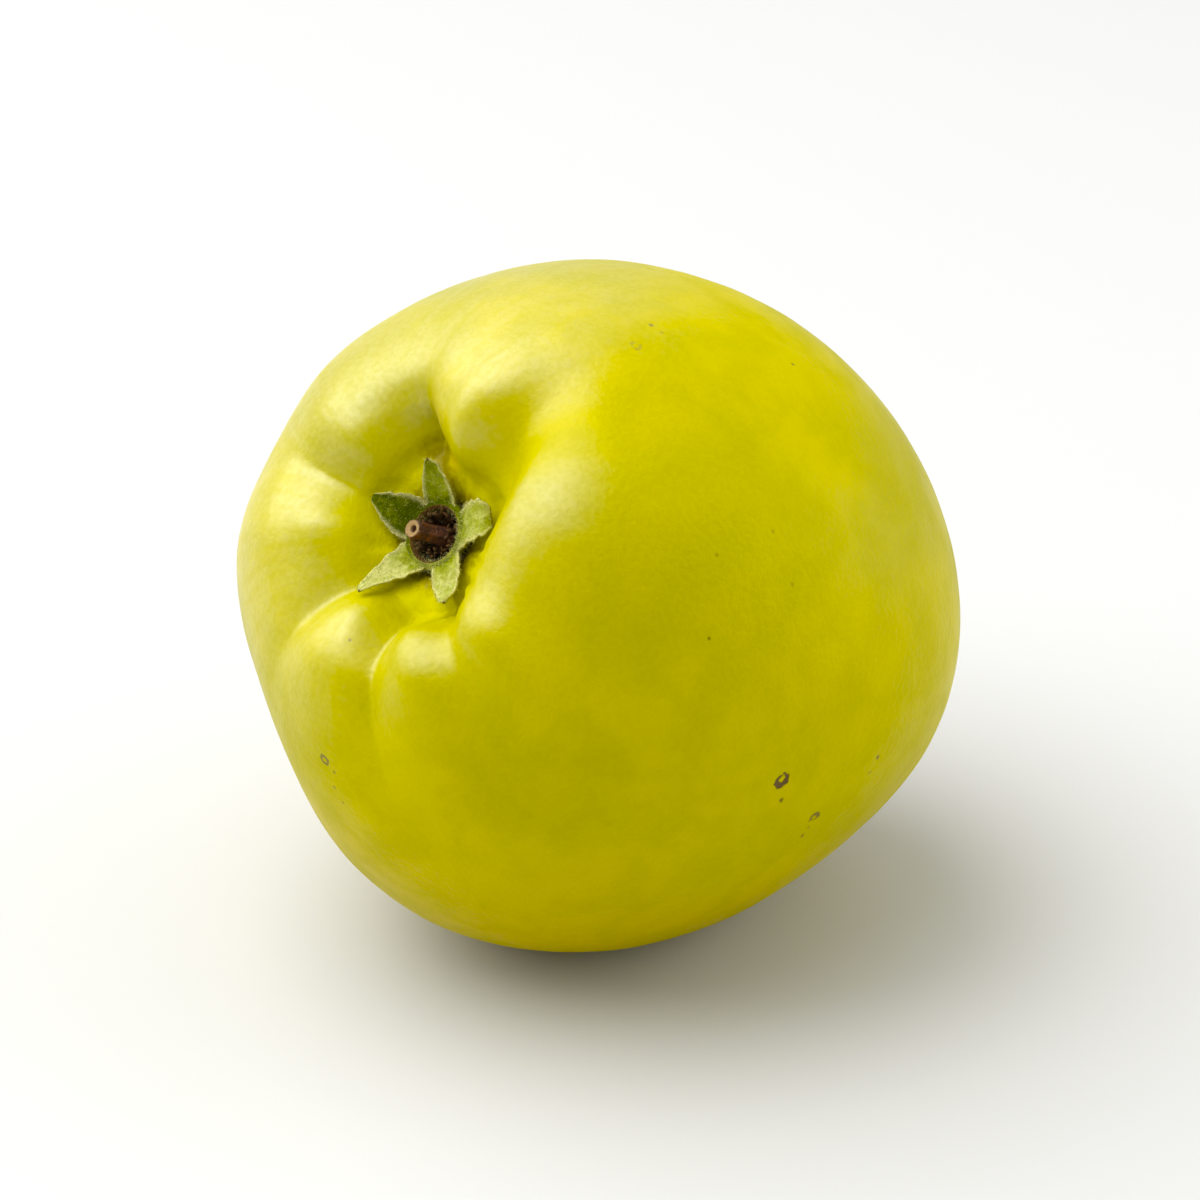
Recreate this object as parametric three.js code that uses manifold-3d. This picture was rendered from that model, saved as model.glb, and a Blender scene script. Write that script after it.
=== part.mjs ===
// A whole ripe quince lying on its side, calyx end tilted up towards -Y, stem end down towards +Y.
// Millimetres, +Z up, origin in the middle of the fruit's footprint, at the height of the surface it lies on.
import * as THREE from "three";
import { mergeVertices } from "three/addons/utils/BufferGeometryUtils.js";
import Module from "manifold-3d";

const wasm = await Module();
wasm.setup();

// Driving dimensions
const AXIS_TILT = 36.7; // angle of the fruit's axis above the horizontal, degrees
const SPOT_DEPTH = 1.3; // how far the skin is flattened where the fruit rests
const SPOT_BLEND = 0.3; // height over which the flat spot rounds into the skin
const GAP = 0.3; // clearance between neighbouring pieces
const RINGS_PER_STATION = 3;
const SEGMENTS_AROUND = 84;
const RIB_HEIGHT = 0.35;
const BLADE_THICKNESS = 0.84;
const CALYX_RADIUS = 3.6;
const CALYX_LEVEL = 31.2;
const CUP_WALL = 0.6; // from the cup's inner edge to CALYX_RADIUS
const EYE_FLOOR_LEVEL = 28.3;
const STYLE_RADIUS = 1.1;
const STYLE_LENGTH = 4.6;
const STYLE_HOLLOW_RADIUS = 0.45;
const STYLE_LEAN = 1.6; // how far its end leans over, towards STYLE_HEADING
const STYLE_HEADING = 117; // azimuth, degrees
const STYLE_FOOT = [0.2, -0.3]; // its foot's place beside the axis
const STAMEN_COUNT = 17;
const STAMEN_RADIUS = 0.36;
const STEM_RADIUS = 1.7;
const STEM_LENGTH = 4.3;
const STEM_HOLLOW_RADIUS = 3.6;

// Skin profile from the eye to the stem: distance from the axis, height along it. The index is the station.
const PROFILE = [
  [0, 28.0], [3.4, 28.3], [4.7, 30.6], [6.4, 33.7], [9.6, 36.7], [14.2, 38.5], [19.6, 37.9],
  [26.7, 33.2], [33.1, 25.6], [38.1, 15.5], [40.6, 3.8], [40.3, -8.1], [37.2, -19.5], [31.4, -29.6],
  [24.0, -37.8], [17.0, -43.2], [11.4, -46.8], [6.6, -47.4], [3.6, -45.8], [0, -45.2],
];
const LAST_STATION = PROFILE.length - 1;

// Furrows that run out of the calyx basin: azimuth in degrees at station 4 and its drift per station,
// depth and half width in mm, and the stations where it starts to fade and ends
const FURROWS = [
  { azimuth: 25, drift: -1.5, depth: 2.8, width: 1.9, sharpness: 1.1, fade: 3.8, end: 6.3 },
  { azimuth: 31, drift: 0, depth: 2.6, width: 5.0, sharpness: 1.7, fade: 4.0, end: 6.8 },
  { azimuth: -50, drift: 8.5, depth: 3.8, width: 5.2, sharpness: 1.8, fade: 4.6, end: 7.6 },
  { azimuth: -126, drift: 0, depth: 1.6, width: 2.2, sharpness: 1.5, fade: 4.6, end: 7.2 },
  { azimuth: -162, drift: 0, depth: 2.4, width: 2.4, sharpness: 1.3, fade: 4.6, end: 8.2 },
  { azimuth: 155, drift: 0, depth: 2.2, width: 2.8, sharpness: 1.4, fade: 4.6, end: 7.6 },
  { azimuth: 87, drift: 0, depth: 1.8, width: 3.4, sharpness: 1.4, fade: 4.2, end: 7.0 },
];

// Knobs between the furrows: azimuth and angular half width in degrees, height in mm, and the stations
// over which it grows out of the basin's wall
const KNOBS = [
  { azimuth: 64, height: 1.4, width: 17, from: 2.8, full: 5.0 },
  { azimuth: 9, height: 0.6, width: 9, from: 2.8, full: 5.0 },
  { azimuth: -15, height: 2.5, width: 17, from: 2.4, full: 5.2 },
  { azimuth: -71, height: 2.4, width: 23, from: 4.4, full: 7.0 },
  { azimuth: -112, height: 1.4, width: 9, from: 4.2, full: 6.2 },
  { azimuth: -142, height: 1.9, width: 12, from: 3.4, full: 5.4 },
  { azimuth: 180, height: 1.5, width: 19, from: 3.0, full: 4.8 },
  { azimuth: 113, height: 1.7, width: 19, from: 2.6, full: 4.8 },
];

// The basin's wall stands back on one side
const BASIN_WIDENING = { azimuth: -132, width: 44, depth: 2.9, from: 2.0, full: 3.2, fade: 4.0, end: 6.4 };

// Uneven growth of the body: direction by angle from the calyx and azimuth, angular half width, height in mm
const SWELLINGS = [
  { polar: 61, azimuth: 144, width: 16, height: -1.6 },
  { polar: 124, azimuth: -128, width: 36, height: -2.4 },
  { polar: 88, azimuth: 176, width: 26, height: 1.4 },
  { polar: 126, azimuth: -58, width: 30, height: 1.0 },
  { polar: 112, azimuth: 30, width: 40, height: 0.8 },
  { polar: 171, azimuth: 70, width: 9, height: 1.6 },
];

// Sepals: the midrib's path as distance from the axis and height, and half widths from base to tip
const SEPALS = [
  {
    azimuth: 19,
    drift: 0,
    path: [[3.4, 31.0], [4.9, 32.2], [6.4, 33.5], [7.6, 34.7], [7.9, 35.6]],
    widths: [2.0, 2.0, 1.5, 0.9, 0.42],
    cup: 0.18,
  },
  {
    azimuth: 84,
    drift: 1,
    path: [[3.4, 31.0], [5.0, 32.3], [6.6, 33.4], [7.9, 34.3], [8.6, 34.5]],
    widths: [2.3, 2.4, 1.8, 1.0, 0.42],
    cup: 0.24,
  },
  {
    azimuth: 156,
    drift: 11,
    path: [[3.4, 31.0], [5.4, 32.4], [7.4, 34.0], [9.0, 35.65], [9.95, 36.5]],
    widths: [2.3, 2.2, 1.45, 0.8, 0.38],
    cup: 0.15,
  },
  {
    azimuth: -124,
    drift: -2,
    path: [[3.4, 31.0], [5.9, 32.1], [8.2, 33.1], [10.0, 34.1], [11.0, 35.1]],
    widths: [1.9, 2.1, 1.7, 1.1, 0.45],
    cup: 0.16,
  },
  {
    azimuth: -63,
    drift: 3,
    path: [[3.4, 31.0], [5.2, 32.4], [7.0, 33.5], [8.4, 33.6], [9.2, 32.9]],
    widths: [2.2, 2.5, 2.5, 2.1, 1.2],
    cup: 0.12,
  },
];

const DEGREES = Math.PI / 180;
const wrapDegrees = (angle) => THREE.MathUtils.euclideanModulo(angle + 180, 360) - 180;
const rise = (x, from, to) => THREE.MathUtils.smoothstep(x, from, to);
const profileCurve = new THREE.SplineCurve(PROFILE.map(([r, w]) => new THREE.Vector2(r, w)));

// Fruit frame: x at azimuth 0, z along the axis towards the calyx
const tilt = AXIS_TILT * DEGREES;
const fruitFrame = new THREE.Matrix4().makeBasis(
  new THREE.Vector3(0, Math.sin(tilt), Math.cos(tilt)),
  new THREE.Vector3(-1, 0, 0),
  new THREE.Vector3(0, -Math.cos(tilt), Math.sin(tilt)),
);

function furrowOffset(station, azimuth, radius) {
  let offset = 0;
  for (const furrow of FURROWS) {
    const strength = rise(station, 1.7, 3.6) * (1 - rise(station, furrow.fade, furrow.end));
    const heading = furrow.azimuth + furrow.drift * (station - 4);
    const across = radius * wrapDegrees(azimuth - heading) * DEGREES;
    offset -= furrow.depth * strength * Math.exp(-(Math.abs(across / furrow.width) ** furrow.sharpness));
  }
  return offset;
}

function knobOffset(station, azimuth) {
  let offset = 0;
  for (const knob of KNOBS) {
    const strength = rise(station, knob.from, knob.full) * (1 - rise(station, 5.2, 9.5));
    const across = wrapDegrees(azimuth - knob.azimuth) / knob.width;
    offset += knob.height * strength * Math.exp(-(across ** 2));
  }
  return offset;
}

function basinOffset(station, azimuth) {
  const { width, depth, from, full, fade, end } = BASIN_WIDENING;
  const across = wrapDegrees(azimuth - BASIN_WIDENING.azimuth) / width;
  return -depth * rise(station, from, full) * (1 - rise(station, fade, end)) * Math.exp(-(across ** 2));
}

function swellingOffset(direction) {
  let offset = 0;
  for (const swelling of SWELLINGS) {
    const middle = new THREE.Vector3().setFromSphericalCoords(1, swelling.polar * DEGREES, 0);
    middle.set(
      middle.z * Math.cos(swelling.azimuth * DEGREES),
      middle.z * Math.sin(swelling.azimuth * DEGREES),
      middle.y,
    );
    const angle = direction.angleTo(middle) / DEGREES;
    offset += swelling.height * Math.exp(-((angle / swelling.width) ** 2));
  }
  return offset;
}

// Point of the skin in the fruit frame, t from 0 at the eye to 1 at the stem
function skinPoint(t, azimuth) {
  const step = 1e-3;
  const point = profileCurve.getPoint(t);
  const before = profileCurve.getPoint(Math.max(t - step, 0));
  const after = profileCurve.getPoint(Math.min(t + step, 1));
  const along = after.sub(before).normalize();
  const station = t * LAST_STATION;
  const angle = azimuth * DEGREES;
  const direction = new THREE.Vector3(point.x * Math.cos(angle), point.x * Math.sin(angle), point.y);
  const ribs = rise(station, 9, 15) * (1 - rise(station, 16.5, 18));
  const offset = furrowOffset(station, azimuth, point.x)
    + knobOffset(station, azimuth)
    + basinOffset(station, azimuth)
    + swellingOffset(direction)
    + RIB_HEIGHT * ribs * Math.cos(5 * angle + 0.6);
  const radius = Math.max(point.x - along.y * offset, 0);
  return new THREE.Vector3(radius * Math.cos(angle), radius * Math.sin(angle), point.y + along.x * offset);
}

function geometryFrom(positions, indices) {
  const geometry = new THREE.BufferGeometry();
  geometry.setAttribute("position", new THREE.Float32BufferAttribute(positions, 3));
  geometry.setIndex(indices);
  geometry.computeVertexNormals();
  return geometry;
}

// Skin over closed rings of equal point count, with a single point at each end
function skinBetween(first, rings, last) {
  const count = rings[0].length;
  const points = [first, ...rings.flat(), last];
  const end = points.length - 1;
  const indices = [];
  for (let j = 0; j < count; j += 1) {
    const next = (j + 1) % count;
    indices.push(0, 1 + j, 1 + next);
    indices.push(end, end - count + next, end - count + j);
  }
  for (let i = 0; i < rings.length - 1; i += 1) {
    for (let j = 0; j < count; j += 1) {
      const a = 1 + i * count + j;
      const b = 1 + i * count + ((j + 1) % count);
      indices.push(a, a + count, b + count);
      indices.push(a, b + count, b);
    }
  }
  return geometryFrom(points.flatMap((point) => [point.x, point.y, point.z]), indices);
}

function toSolid(geometry) {
  const bare = geometry.clone();
  bare.deleteAttribute("normal");
  bare.deleteAttribute("uv");
  const merged = mergeVertices(bare, 1e-5);
  return new wasm.Manifold(new wasm.Mesh({
    numProp: 3,
    vertProperties: new Float32Array(merged.attributes.position.array),
    triVerts: new Uint32Array(merged.index.array),
  }));
}

function joined(geometries) {
  let solid = toSolid(geometries[0]);
  for (const geometry of geometries.slice(1)) {
    solid = solid.add(toSolid(geometry));
  }
  const mesh = solid.getMesh();
  return geometryFrom(Array.from(mesh.vertProperties), Array.from(mesh.triVerts));
}

// Fruit: skin rings in the fruit frame, laid on the ground and flattened a little where it rests
function fruitGeometry() {
  const ringCount = LAST_STATION * RINGS_PER_STATION;
  const rings = [];
  for (let i = 1; i < ringCount; i += 1) {
    const ring = [];
    for (let j = 0; j < SEGMENTS_AROUND; j += 1) {
      ring.push(skinPoint(i / ringCount, (j * 360) / SEGMENTS_AROUND));
    }
    rings.push(ring);
  }
  const geometry = skinBetween(skinPoint(0, 0).setX(0), rings, skinPoint(1, 0).setX(0));
  return geometry.applyMatrix4(fruitFrame);
}

// Height after resting: flat under the spot, then rounding smoothly into the skin above
function rested(z) {
  if (z < -SPOT_BLEND) {
    return 0;
  }
  return z < SPOT_BLEND ? (z + SPOT_BLEND) ** 2 / (4 * SPOT_BLEND) : z;
}

function layDown(geometry, lift) {
  const position = geometry.attributes.position;
  for (let i = 0; i < position.count; i += 1) {
    position.setZ(i, rested(position.getZ(i) + lift));
  }
  geometry.computeVertexNormals();
}

// Calyx: a short cup on the eye's rim with five blades that spread along the basin
function sepalGeometry({ azimuth, drift, path, widths, cup }) {
  const middle = new THREE.CatmullRomCurve3(path.map(([r, w], i) => {
    const angle = (azimuth + (drift * i) / (path.length - 1)) * DEGREES;
    return new THREE.Vector3(r * Math.cos(angle), r * Math.sin(angle), w);
  }));
  const halfWidths = new THREE.SplineCurve(widths.map((width, i) => new THREE.Vector2(i, width)));
  const sectionCount = 10;
  const across = [-1, -0.55, 0, 0.55, 1];
  const sections = [];
  for (let i = 0; i <= sectionCount; i += 1) {
    const t = i / sectionCount;
    const centre = middle.getPoint(t);
    const forward = middle.getTangent(t);
    const outward = new THREE.Vector3(centre.x, centre.y, 0).normalize();
    const side = new THREE.Vector3(-outward.y, outward.x, 0);
    side.addScaledVector(forward, -side.dot(forward)).normalize();
    const inner = new THREE.Vector3().crossVectors(forward, side);
    const halfWidth = halfWidths.getPoint(t).y;
    const faces = [1, -1].map((face) => across.map((x) => {
      const level = cup * halfWidth * x * x + (face * BLADE_THICKNESS * (1 - 0.12 * x * x)) / 2;
      return centre.clone().addScaledVector(side, x * halfWidth).addScaledVector(inner, level);
    }));
    sections.push([...faces[0], ...faces[1].reverse()]);
  }
  return bladeFrom(sections);
}

// Blade between sections whose second half mirrors the first, closed by a strip at each end
function bladeFrom(sections) {
  const count = sections[0].length;
  const points = sections.flat();
  const indices = [];
  for (let i = 0; i < sections.length - 1; i += 1) {
    for (let j = 0; j < count; j += 1) {
      const a = i * count + j;
      const b = i * count + ((j + 1) % count);
      indices.push(a, b + count, b);
      indices.push(a, a + count, b + count);
    }
  }
  const lastStart = (sections.length - 1) * count;
  for (let j = 0; j < count / 2 - 1; j += 1) {
    const mirror = count - 1 - j;
    indices.push(j, mirror - 1, mirror);
    indices.push(j, j + 1, mirror - 1);
    indices.push(lastStart + j, lastStart + mirror, lastStart + mirror - 1);
    indices.push(lastStart + j, lastStart + mirror - 1, lastStart + j + 1);
  }
  return geometryFrom(points.flatMap((point) => [point.x, point.y, point.z]), indices);
}

// A lathe about the fruit's axis, from [distance, height] pairs
function latheAboutAxis(profile, segments) {
  const points = profile.map(([r, w]) => new THREE.Vector2(r, w));
  return new THREE.LatheGeometry(points, segments).rotateX(Math.PI / 2);
}

function cupGeometry() {
  const inner = CALYX_RADIUS - CUP_WALL;
  return latheAboutAxis([
    [inner, CALYX_LEVEL - 1.5],
    [CALYX_RADIUS - 0.15, CALYX_LEVEL - 1.5],
    [CALYX_RADIUS + 0.5, CALYX_LEVEL - 0.35],
    [CALYX_RADIUS + 0.55, CALYX_LEVEL + 0.35],
    [CALYX_RADIUS, CALYX_LEVEL + 0.55],
    [inner + 0.15, CALYX_LEVEL],
    [inner, CALYX_LEVEL - 1.5],
  ], 40);
}

// Stamens: a disc on the eye's floor with a ring of dried stubs leaning outwards
function seededRandom(seed) {
  let state = seed;
  return () => {
    state = (state * 1664525 + 1013904223) % 4294967296;
    return state / 4294967296;
  };
}

function stamenGeometry(azimuth, length, lean, bend) {
  const angle = azimuth * DEGREES;
  const outward = new THREE.Vector3(Math.cos(angle), Math.sin(angle), 0);
  const side = new THREE.Vector3(-outward.y, outward.x, 0);
  const base = outward.clone().multiplyScalar(1.75).setZ(EYE_FLOOR_LEVEL + GAP + 0.25);
  const sides = 6;
  const steps = 4;
  const rings = [];
  for (let i = 0; i <= steps; i += 1) {
    const t = i / steps;
    const swell = i === steps - 1 ? 1.35 : 1 - 0.1 * t;
    const centre = base.clone()
      .addScaledVector(outward, length * lean * t)
      .addScaledVector(side, bend * t * t);
    centre.z += length * t;
    const ring = [];
    for (let j = 0; j < sides; j += 1) {
      const turn = (j * 2 * Math.PI) / sides;
      ring.push(centre.clone()
        .addScaledVector(outward, STAMEN_RADIUS * swell * Math.cos(turn))
        .addScaledVector(side, STAMEN_RADIUS * swell * Math.sin(turn)));
    }
    rings.push(ring.reverse());
  }
  const top = base.clone().addScaledVector(outward, length * lean).addScaledVector(side, bend);
  top.z += length + 0.12;
  return skinBetween(base, rings, top);
}

function stamensGeometry() {
  const random = seededRandom(11);
  const bottom = EYE_FLOOR_LEVEL + GAP;
  const disc = latheAboutAxis([[0, bottom], [2.2, bottom], [2.35, bottom + 0.7], [0, bottom + 0.6]], 24);
  const pieces = [disc];
  for (let i = 0; i < STAMEN_COUNT; i += 1) {
    const azimuth = (i * 360) / STAMEN_COUNT + (random() - 0.5) * 6;
    const length = 2.0 + 1.3 * random();
    pieces.push(stamenGeometry(azimuth, length, 0.3 + 0.06 * random(), (random() - 0.5) * 0.35));
  }
  return joined(pieces);
}

// Style: a dried hollow stub with a cut end, leaning over the eye
function styleGeometry() {
  const geometry = new THREE.LatheGeometry([
    new THREE.Vector2(0, 0),
    new THREE.Vector2(STYLE_RADIUS * 0.92, 0),
    new THREE.Vector2(STYLE_RADIUS * 0.96, STYLE_LENGTH * 0.3),
    new THREE.Vector2(STYLE_RADIUS * 0.9, STYLE_LENGTH * 0.65),
    new THREE.Vector2(STYLE_RADIUS, STYLE_LENGTH * 0.95),
    new THREE.Vector2(STYLE_RADIUS * 0.95, STYLE_LENGTH),
    new THREE.Vector2(STYLE_HOLLOW_RADIUS, STYLE_LENGTH),
    new THREE.Vector2(STYLE_HOLLOW_RADIUS * 0.9, STYLE_LENGTH - 0.9),
    new THREE.Vector2(0, STYLE_LENGTH - 0.9),
  ], 14).rotateX(Math.PI / 2);
  const heading = STYLE_HEADING * DEGREES;
  const position = geometry.attributes.position;
  for (let i = 0; i < position.count; i += 1) {
    const rest = Math.max(position.getZ(i) / STYLE_LENGTH, 0) ** 1.3;
    position.setX(i, position.getX(i) + STYLE_LEAN * rest * Math.cos(heading));
    position.setY(i, position.getY(i) + STYLE_LEAN * rest * Math.sin(heading));
  }
  geometry.translate(...STYLE_FOOT, EYE_FLOOR_LEVEL + GAP + 0.7 + GAP);
  return joined([geometry]);
}

// Stem: a short woody stub, broken off unevenly, whose foot follows the floor of the stem end's hollow
function stemGeometry() {
  const random = seededRandom(5);
  const sides = 12;
  const flare = [1.12, 1.02, 0.94, 0.92, 1.0, 1.06, 0.8];
  const levels = [0, 0.12, 0.35, 0.6, 0.82, 0.96, 1.0];
  const wobble = Array.from({ length: sides }, () => 1 + (random() - 0.5) * 0.16);
  const end = skinPoint(1, 0).z - GAP - STEM_LENGTH;
  const rings = levels.map((level, i) => {
    const ring = [];
    for (let j = 0; j < sides; j += 1) {
      const turn = (j * 2 * Math.PI) / sides;
      const radius = STEM_RADIUS * flare[i] * wobble[j];
      const onSkin = skinPoint(1 - radius / (STEM_HOLLOW_RADIUS * LAST_STATION), turn / DEGREES);
      const foot = onSkin.z - GAP * 1.3;
      const ragged = i > 4 ? (random() - 0.5) * 0.35 : 0;
      ring.push(new THREE.Vector3(
        radius * Math.cos(turn) + 0.5 * level * level,
        radius * Math.sin(turn) - 0.3 * level,
        foot + (end - foot) * level + ragged,
      ));
    }
    return ring;
  });
  const base = new THREE.Vector3(0, 0, skinPoint(1, 0).z - GAP * 1.3);
  const tip = new THREE.Vector3(0.5, -0.3, end + 0.2);
  return skinBetween(base, rings, tip);
}

function piece(name, geometry, color, roughness) {
  const mesh = new THREE.Mesh(geometry, new THREE.MeshStandardMaterial({ color, roughness, metalness: 0 }));
  mesh.name = name;
  return mesh;
}

const fruitSkin = fruitGeometry();
fruitSkin.computeBoundingBox();
const lift = -fruitSkin.boundingBox.min.z - SPOT_DEPTH;
layDown(fruitSkin, lift);

const eyePieces = new THREE.Group();
eyePieces.quaternion.setFromRotationMatrix(fruitFrame);
eyePieces.position.z = lift;
eyePieces.add(
  piece("calyx", joined([cupGeometry(), ...SEPALS.map(sepalGeometry)]), 0x8a9440, 0.8),
  piece("stamens", stamensGeometry(), 0x382a12, 0.9),
  piece("style", styleGeometry(), 0x5a3320, 0.75),
  piece("stem", stemGeometry(), 0x7d6248, 0.85),
);

const quince = new THREE.Group();
quince.add(piece("fruit", fruitSkin, 0xc8bb12, 0.5), eyePieces);
const extent = new THREE.Box3().setFromObject(quince, true);
quince.position.x = -(extent.min.x + extent.max.x) / 2;
quince.position.y = -(extent.min.y + extent.max.y) / 2;

export default quince;
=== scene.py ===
"""A whole ripe quince lying on its side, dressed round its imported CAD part.

The skin, the calyx, the stamens, the style and the stem stub are made again at a finer scale from the same
named sizes as the part's source, and each takes the place of its own CAD node.
"""
import logging
import math
from dataclasses import dataclass, field
from enum import Enum
from typing import Sequence

import bpy
import numpy as np
from mathutils import Matrix, Vector, noise
from mathutils.kdtree import KDTree


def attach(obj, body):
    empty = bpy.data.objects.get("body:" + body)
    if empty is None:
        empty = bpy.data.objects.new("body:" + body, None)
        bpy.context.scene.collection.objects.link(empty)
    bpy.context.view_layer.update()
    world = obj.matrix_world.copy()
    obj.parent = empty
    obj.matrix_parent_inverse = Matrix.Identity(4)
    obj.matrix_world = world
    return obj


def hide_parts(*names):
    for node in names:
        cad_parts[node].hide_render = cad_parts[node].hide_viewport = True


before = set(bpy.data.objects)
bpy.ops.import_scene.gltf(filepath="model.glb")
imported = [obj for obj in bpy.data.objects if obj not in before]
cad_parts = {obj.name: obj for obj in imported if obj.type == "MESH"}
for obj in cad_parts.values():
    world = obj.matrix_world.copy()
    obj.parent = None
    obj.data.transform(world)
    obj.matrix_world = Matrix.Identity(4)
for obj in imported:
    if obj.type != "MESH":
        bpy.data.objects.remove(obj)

MM = 0.001
LOG = logging.getLogger("quince")
Array = np.ndarray
Colour = tuple[float, float, float]
Socket = bpy.types.NodeSocket
Node = bpy.types.Node
Piece = bpy.types.Object
Material = bpy.types.Material


def rise(x: Array, start: float, stop: float) -> Array:
    """A smooth step from 0 at start to 1 at stop."""
    s = np.clip((x - start) / (stop - start), 0.0, 1.0)
    return s * s * (3.0 - 2.0 * s)


def band(x: Array, start: float, full: float, ease: float, end: float) -> Array:
    """A smooth band: 0 up to start, 1 from full to ease, and 0 again from end."""
    return rise(x, start, full) * (1 - rise(x, ease, end))


def wrapped(angle: Array) -> Array:
    """The same angle between -180 and 180 degrees."""
    return (angle + 180.0) % 360.0 - 180.0


def hump(azimuth: Array, middle: float, width: float) -> Array:
    """A smooth hump of height 1 round one azimuth, in degrees."""
    return np.exp(-((wrapped(azimuth - middle) / width) ** 2))


def unit(vectors: Array) -> Array:
    """The same vectors with length 1."""
    return vectors / np.linalg.norm(vectors, axis=-1, keepdims=True)


def outward(azimuth: Array, radius: Array, height: Array) -> Array:
    """Points at azimuths in degrees, distances from the axis and heights."""
    turn = np.radians(azimuth)
    return np.stack(np.broadcast_arrays(radius * np.cos(turn), radius * np.sin(turn), height), -1)


def spline(points: Sequence[Sequence[float]], t: Array) -> Array:
    """Points on a uniform Catmull-Rom curve.

    Args:
        points: the curve's own points, in order.
        t: places along it, from 0 to 1.

    Returns:
        One point for each value of t.
    """
    p = np.array(points, float)
    last = len(p) - 1
    x = np.clip(t, 0.0, 1.0) * last
    i = np.minimum(np.floor(x).astype(int), last - 1)
    f = (x - i)[..., None]
    p0, p1, p2, p3 = (p[np.clip(i + k, 0, last)] for k in (-1, 0, 1, 2))
    v0, v1 = (p2 - p0) * 0.5, (p3 - p1) * 0.5
    return (2 * p1 - 2 * p2 + v0 + v1) * f**3 + (-3 * p1 + 3 * p2 - 2 * v0 - v1) * f**2 + v0 * f + p1


def rough(points: Array, size: float, seed: float = 0.0) -> Array:
    """Smooth noise between about -1 and 1 at each point.

    Args:
        points: places in mm.
        size: how far apart its bumps are, in mm.
        seed: moves the pattern.

    Returns:
        One value for each point.
    """
    flat = points.reshape(-1, 3) / size + seed
    values = np.fromiter((noise.noise(Vector(p)) for p in flat), float, len(flat))
    return values.reshape(points.shape[:-1])


@dataclass(frozen=True)
class Furrow:
    """A furrow that runs out of the calyx basin, with azimuths in degrees and sizes in mm.

    It drifts round by so many degrees a station, and fades out from one station to its end.
    """

    azimuth: float
    drift: float
    depth: float
    width: float
    sharpness: float
    fade: float
    end: float


@dataclass(frozen=True)
class Knob:
    """A knob of the rim between two furrows. Its start and full are stations on the basin's wall."""

    azimuth: float
    height: float
    width: float
    start: float
    full: float


@dataclass(frozen=True)
class Swelling:
    """Uneven growth of the body round one direction, given by its angle from the calyx and its azimuth."""

    polar: float
    azimuth: float
    width: float
    height: float


class DentForm(Enum):
    """How a blemish in the skin looks."""

    FLECK = "fleck"
    RING = "ring"


@dataclass(frozen=True)
class Dent:
    """A small dry blemish in the skin, at a station and an azimuth, with its radius and depth in mm."""

    station: float
    azimuth: float
    radius: float
    depth: float = 0.0
    darkness: float = 0.8
    form: DentForm = DentForm.FLECK


DENTS = (
    Dent(10.00, -101.6, 0.85, 0.24, 1.0, DentForm.RING),
    Dent(10.18, -104.6, 0.62, 0.12, 1.0),
    Dent(10.02, -102.4, 0.30, 0.0, 0.8),
    Dent(10.87, -105.3, 0.60, 0.10, 0.8, DentForm.RING),
    Dent(10.84, -106.2, 0.42, 0.0, 0.75),
    Dent(10.93, -107.6, 0.36, 0.0, 0.6),
    Dent(10.96, -109.5, 0.50, 0.08, 0.9),
    Dent(11.22, -91.5, 0.52, 0.08, 0.9),
    Dent(11.25, -94.5, 0.36, 0.0, 0.6),
    Dent(8.39, -85.0, 0.38, 0.04, 0.8),
    Dent(8.81, -63.0, 0.42, 0.0, 0.4),
    Dent(9.12, -71.0, 0.40, 0.0, 0.35),
    Dent(8.21, -70.0, 0.40, 0.0, 0.4),
    Dent(8.05, -18.0, 0.50, 0.04, 0.6),
    Dent(8.10, -20.5, 0.34, 0.0, 0.4),
    Dent(7.69, -23.0, 0.60, 0.06, 0.3, DentForm.RING),
    Dent(9.58, -27.0, 0.38, 0.03, 0.75),
    Dent(5.16, -173.5, 0.36, 0.0, 0.6),
    Dent(7.22, -179.0, 0.60, 0.08, 0.7, DentForm.RING),
    Dent(7.35, -176.5, 0.40, 0.0, 0.7),
    Dent(7.60, -178.0, 0.36, 0.0, 0.6),
    Dent(7.81, -177.0, 0.38, 0.0, 0.6),
    Dent(9.4, 60.0, 0.50, 0.10, 0.7, DentForm.RING),
    Dent(9.9, 66.0, 0.26, 0.0, 0.7),
    Dent(12.3, 12.0, 0.34, 0.05, 0.6),
    Dent(13.1, 100.0, 0.42, 0.08, 0.7),
    Dent(12.7, 108.0, 0.22, 0.0, 0.6),
    Dent(14.2, -30.0, 0.50, 0.10, 0.6, DentForm.RING),
    Dent(10.6, 150.0, 0.28, 0.0, 0.6),
    Dent(12.2, -150.0, 0.36, 0.06, 0.7),
)


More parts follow.
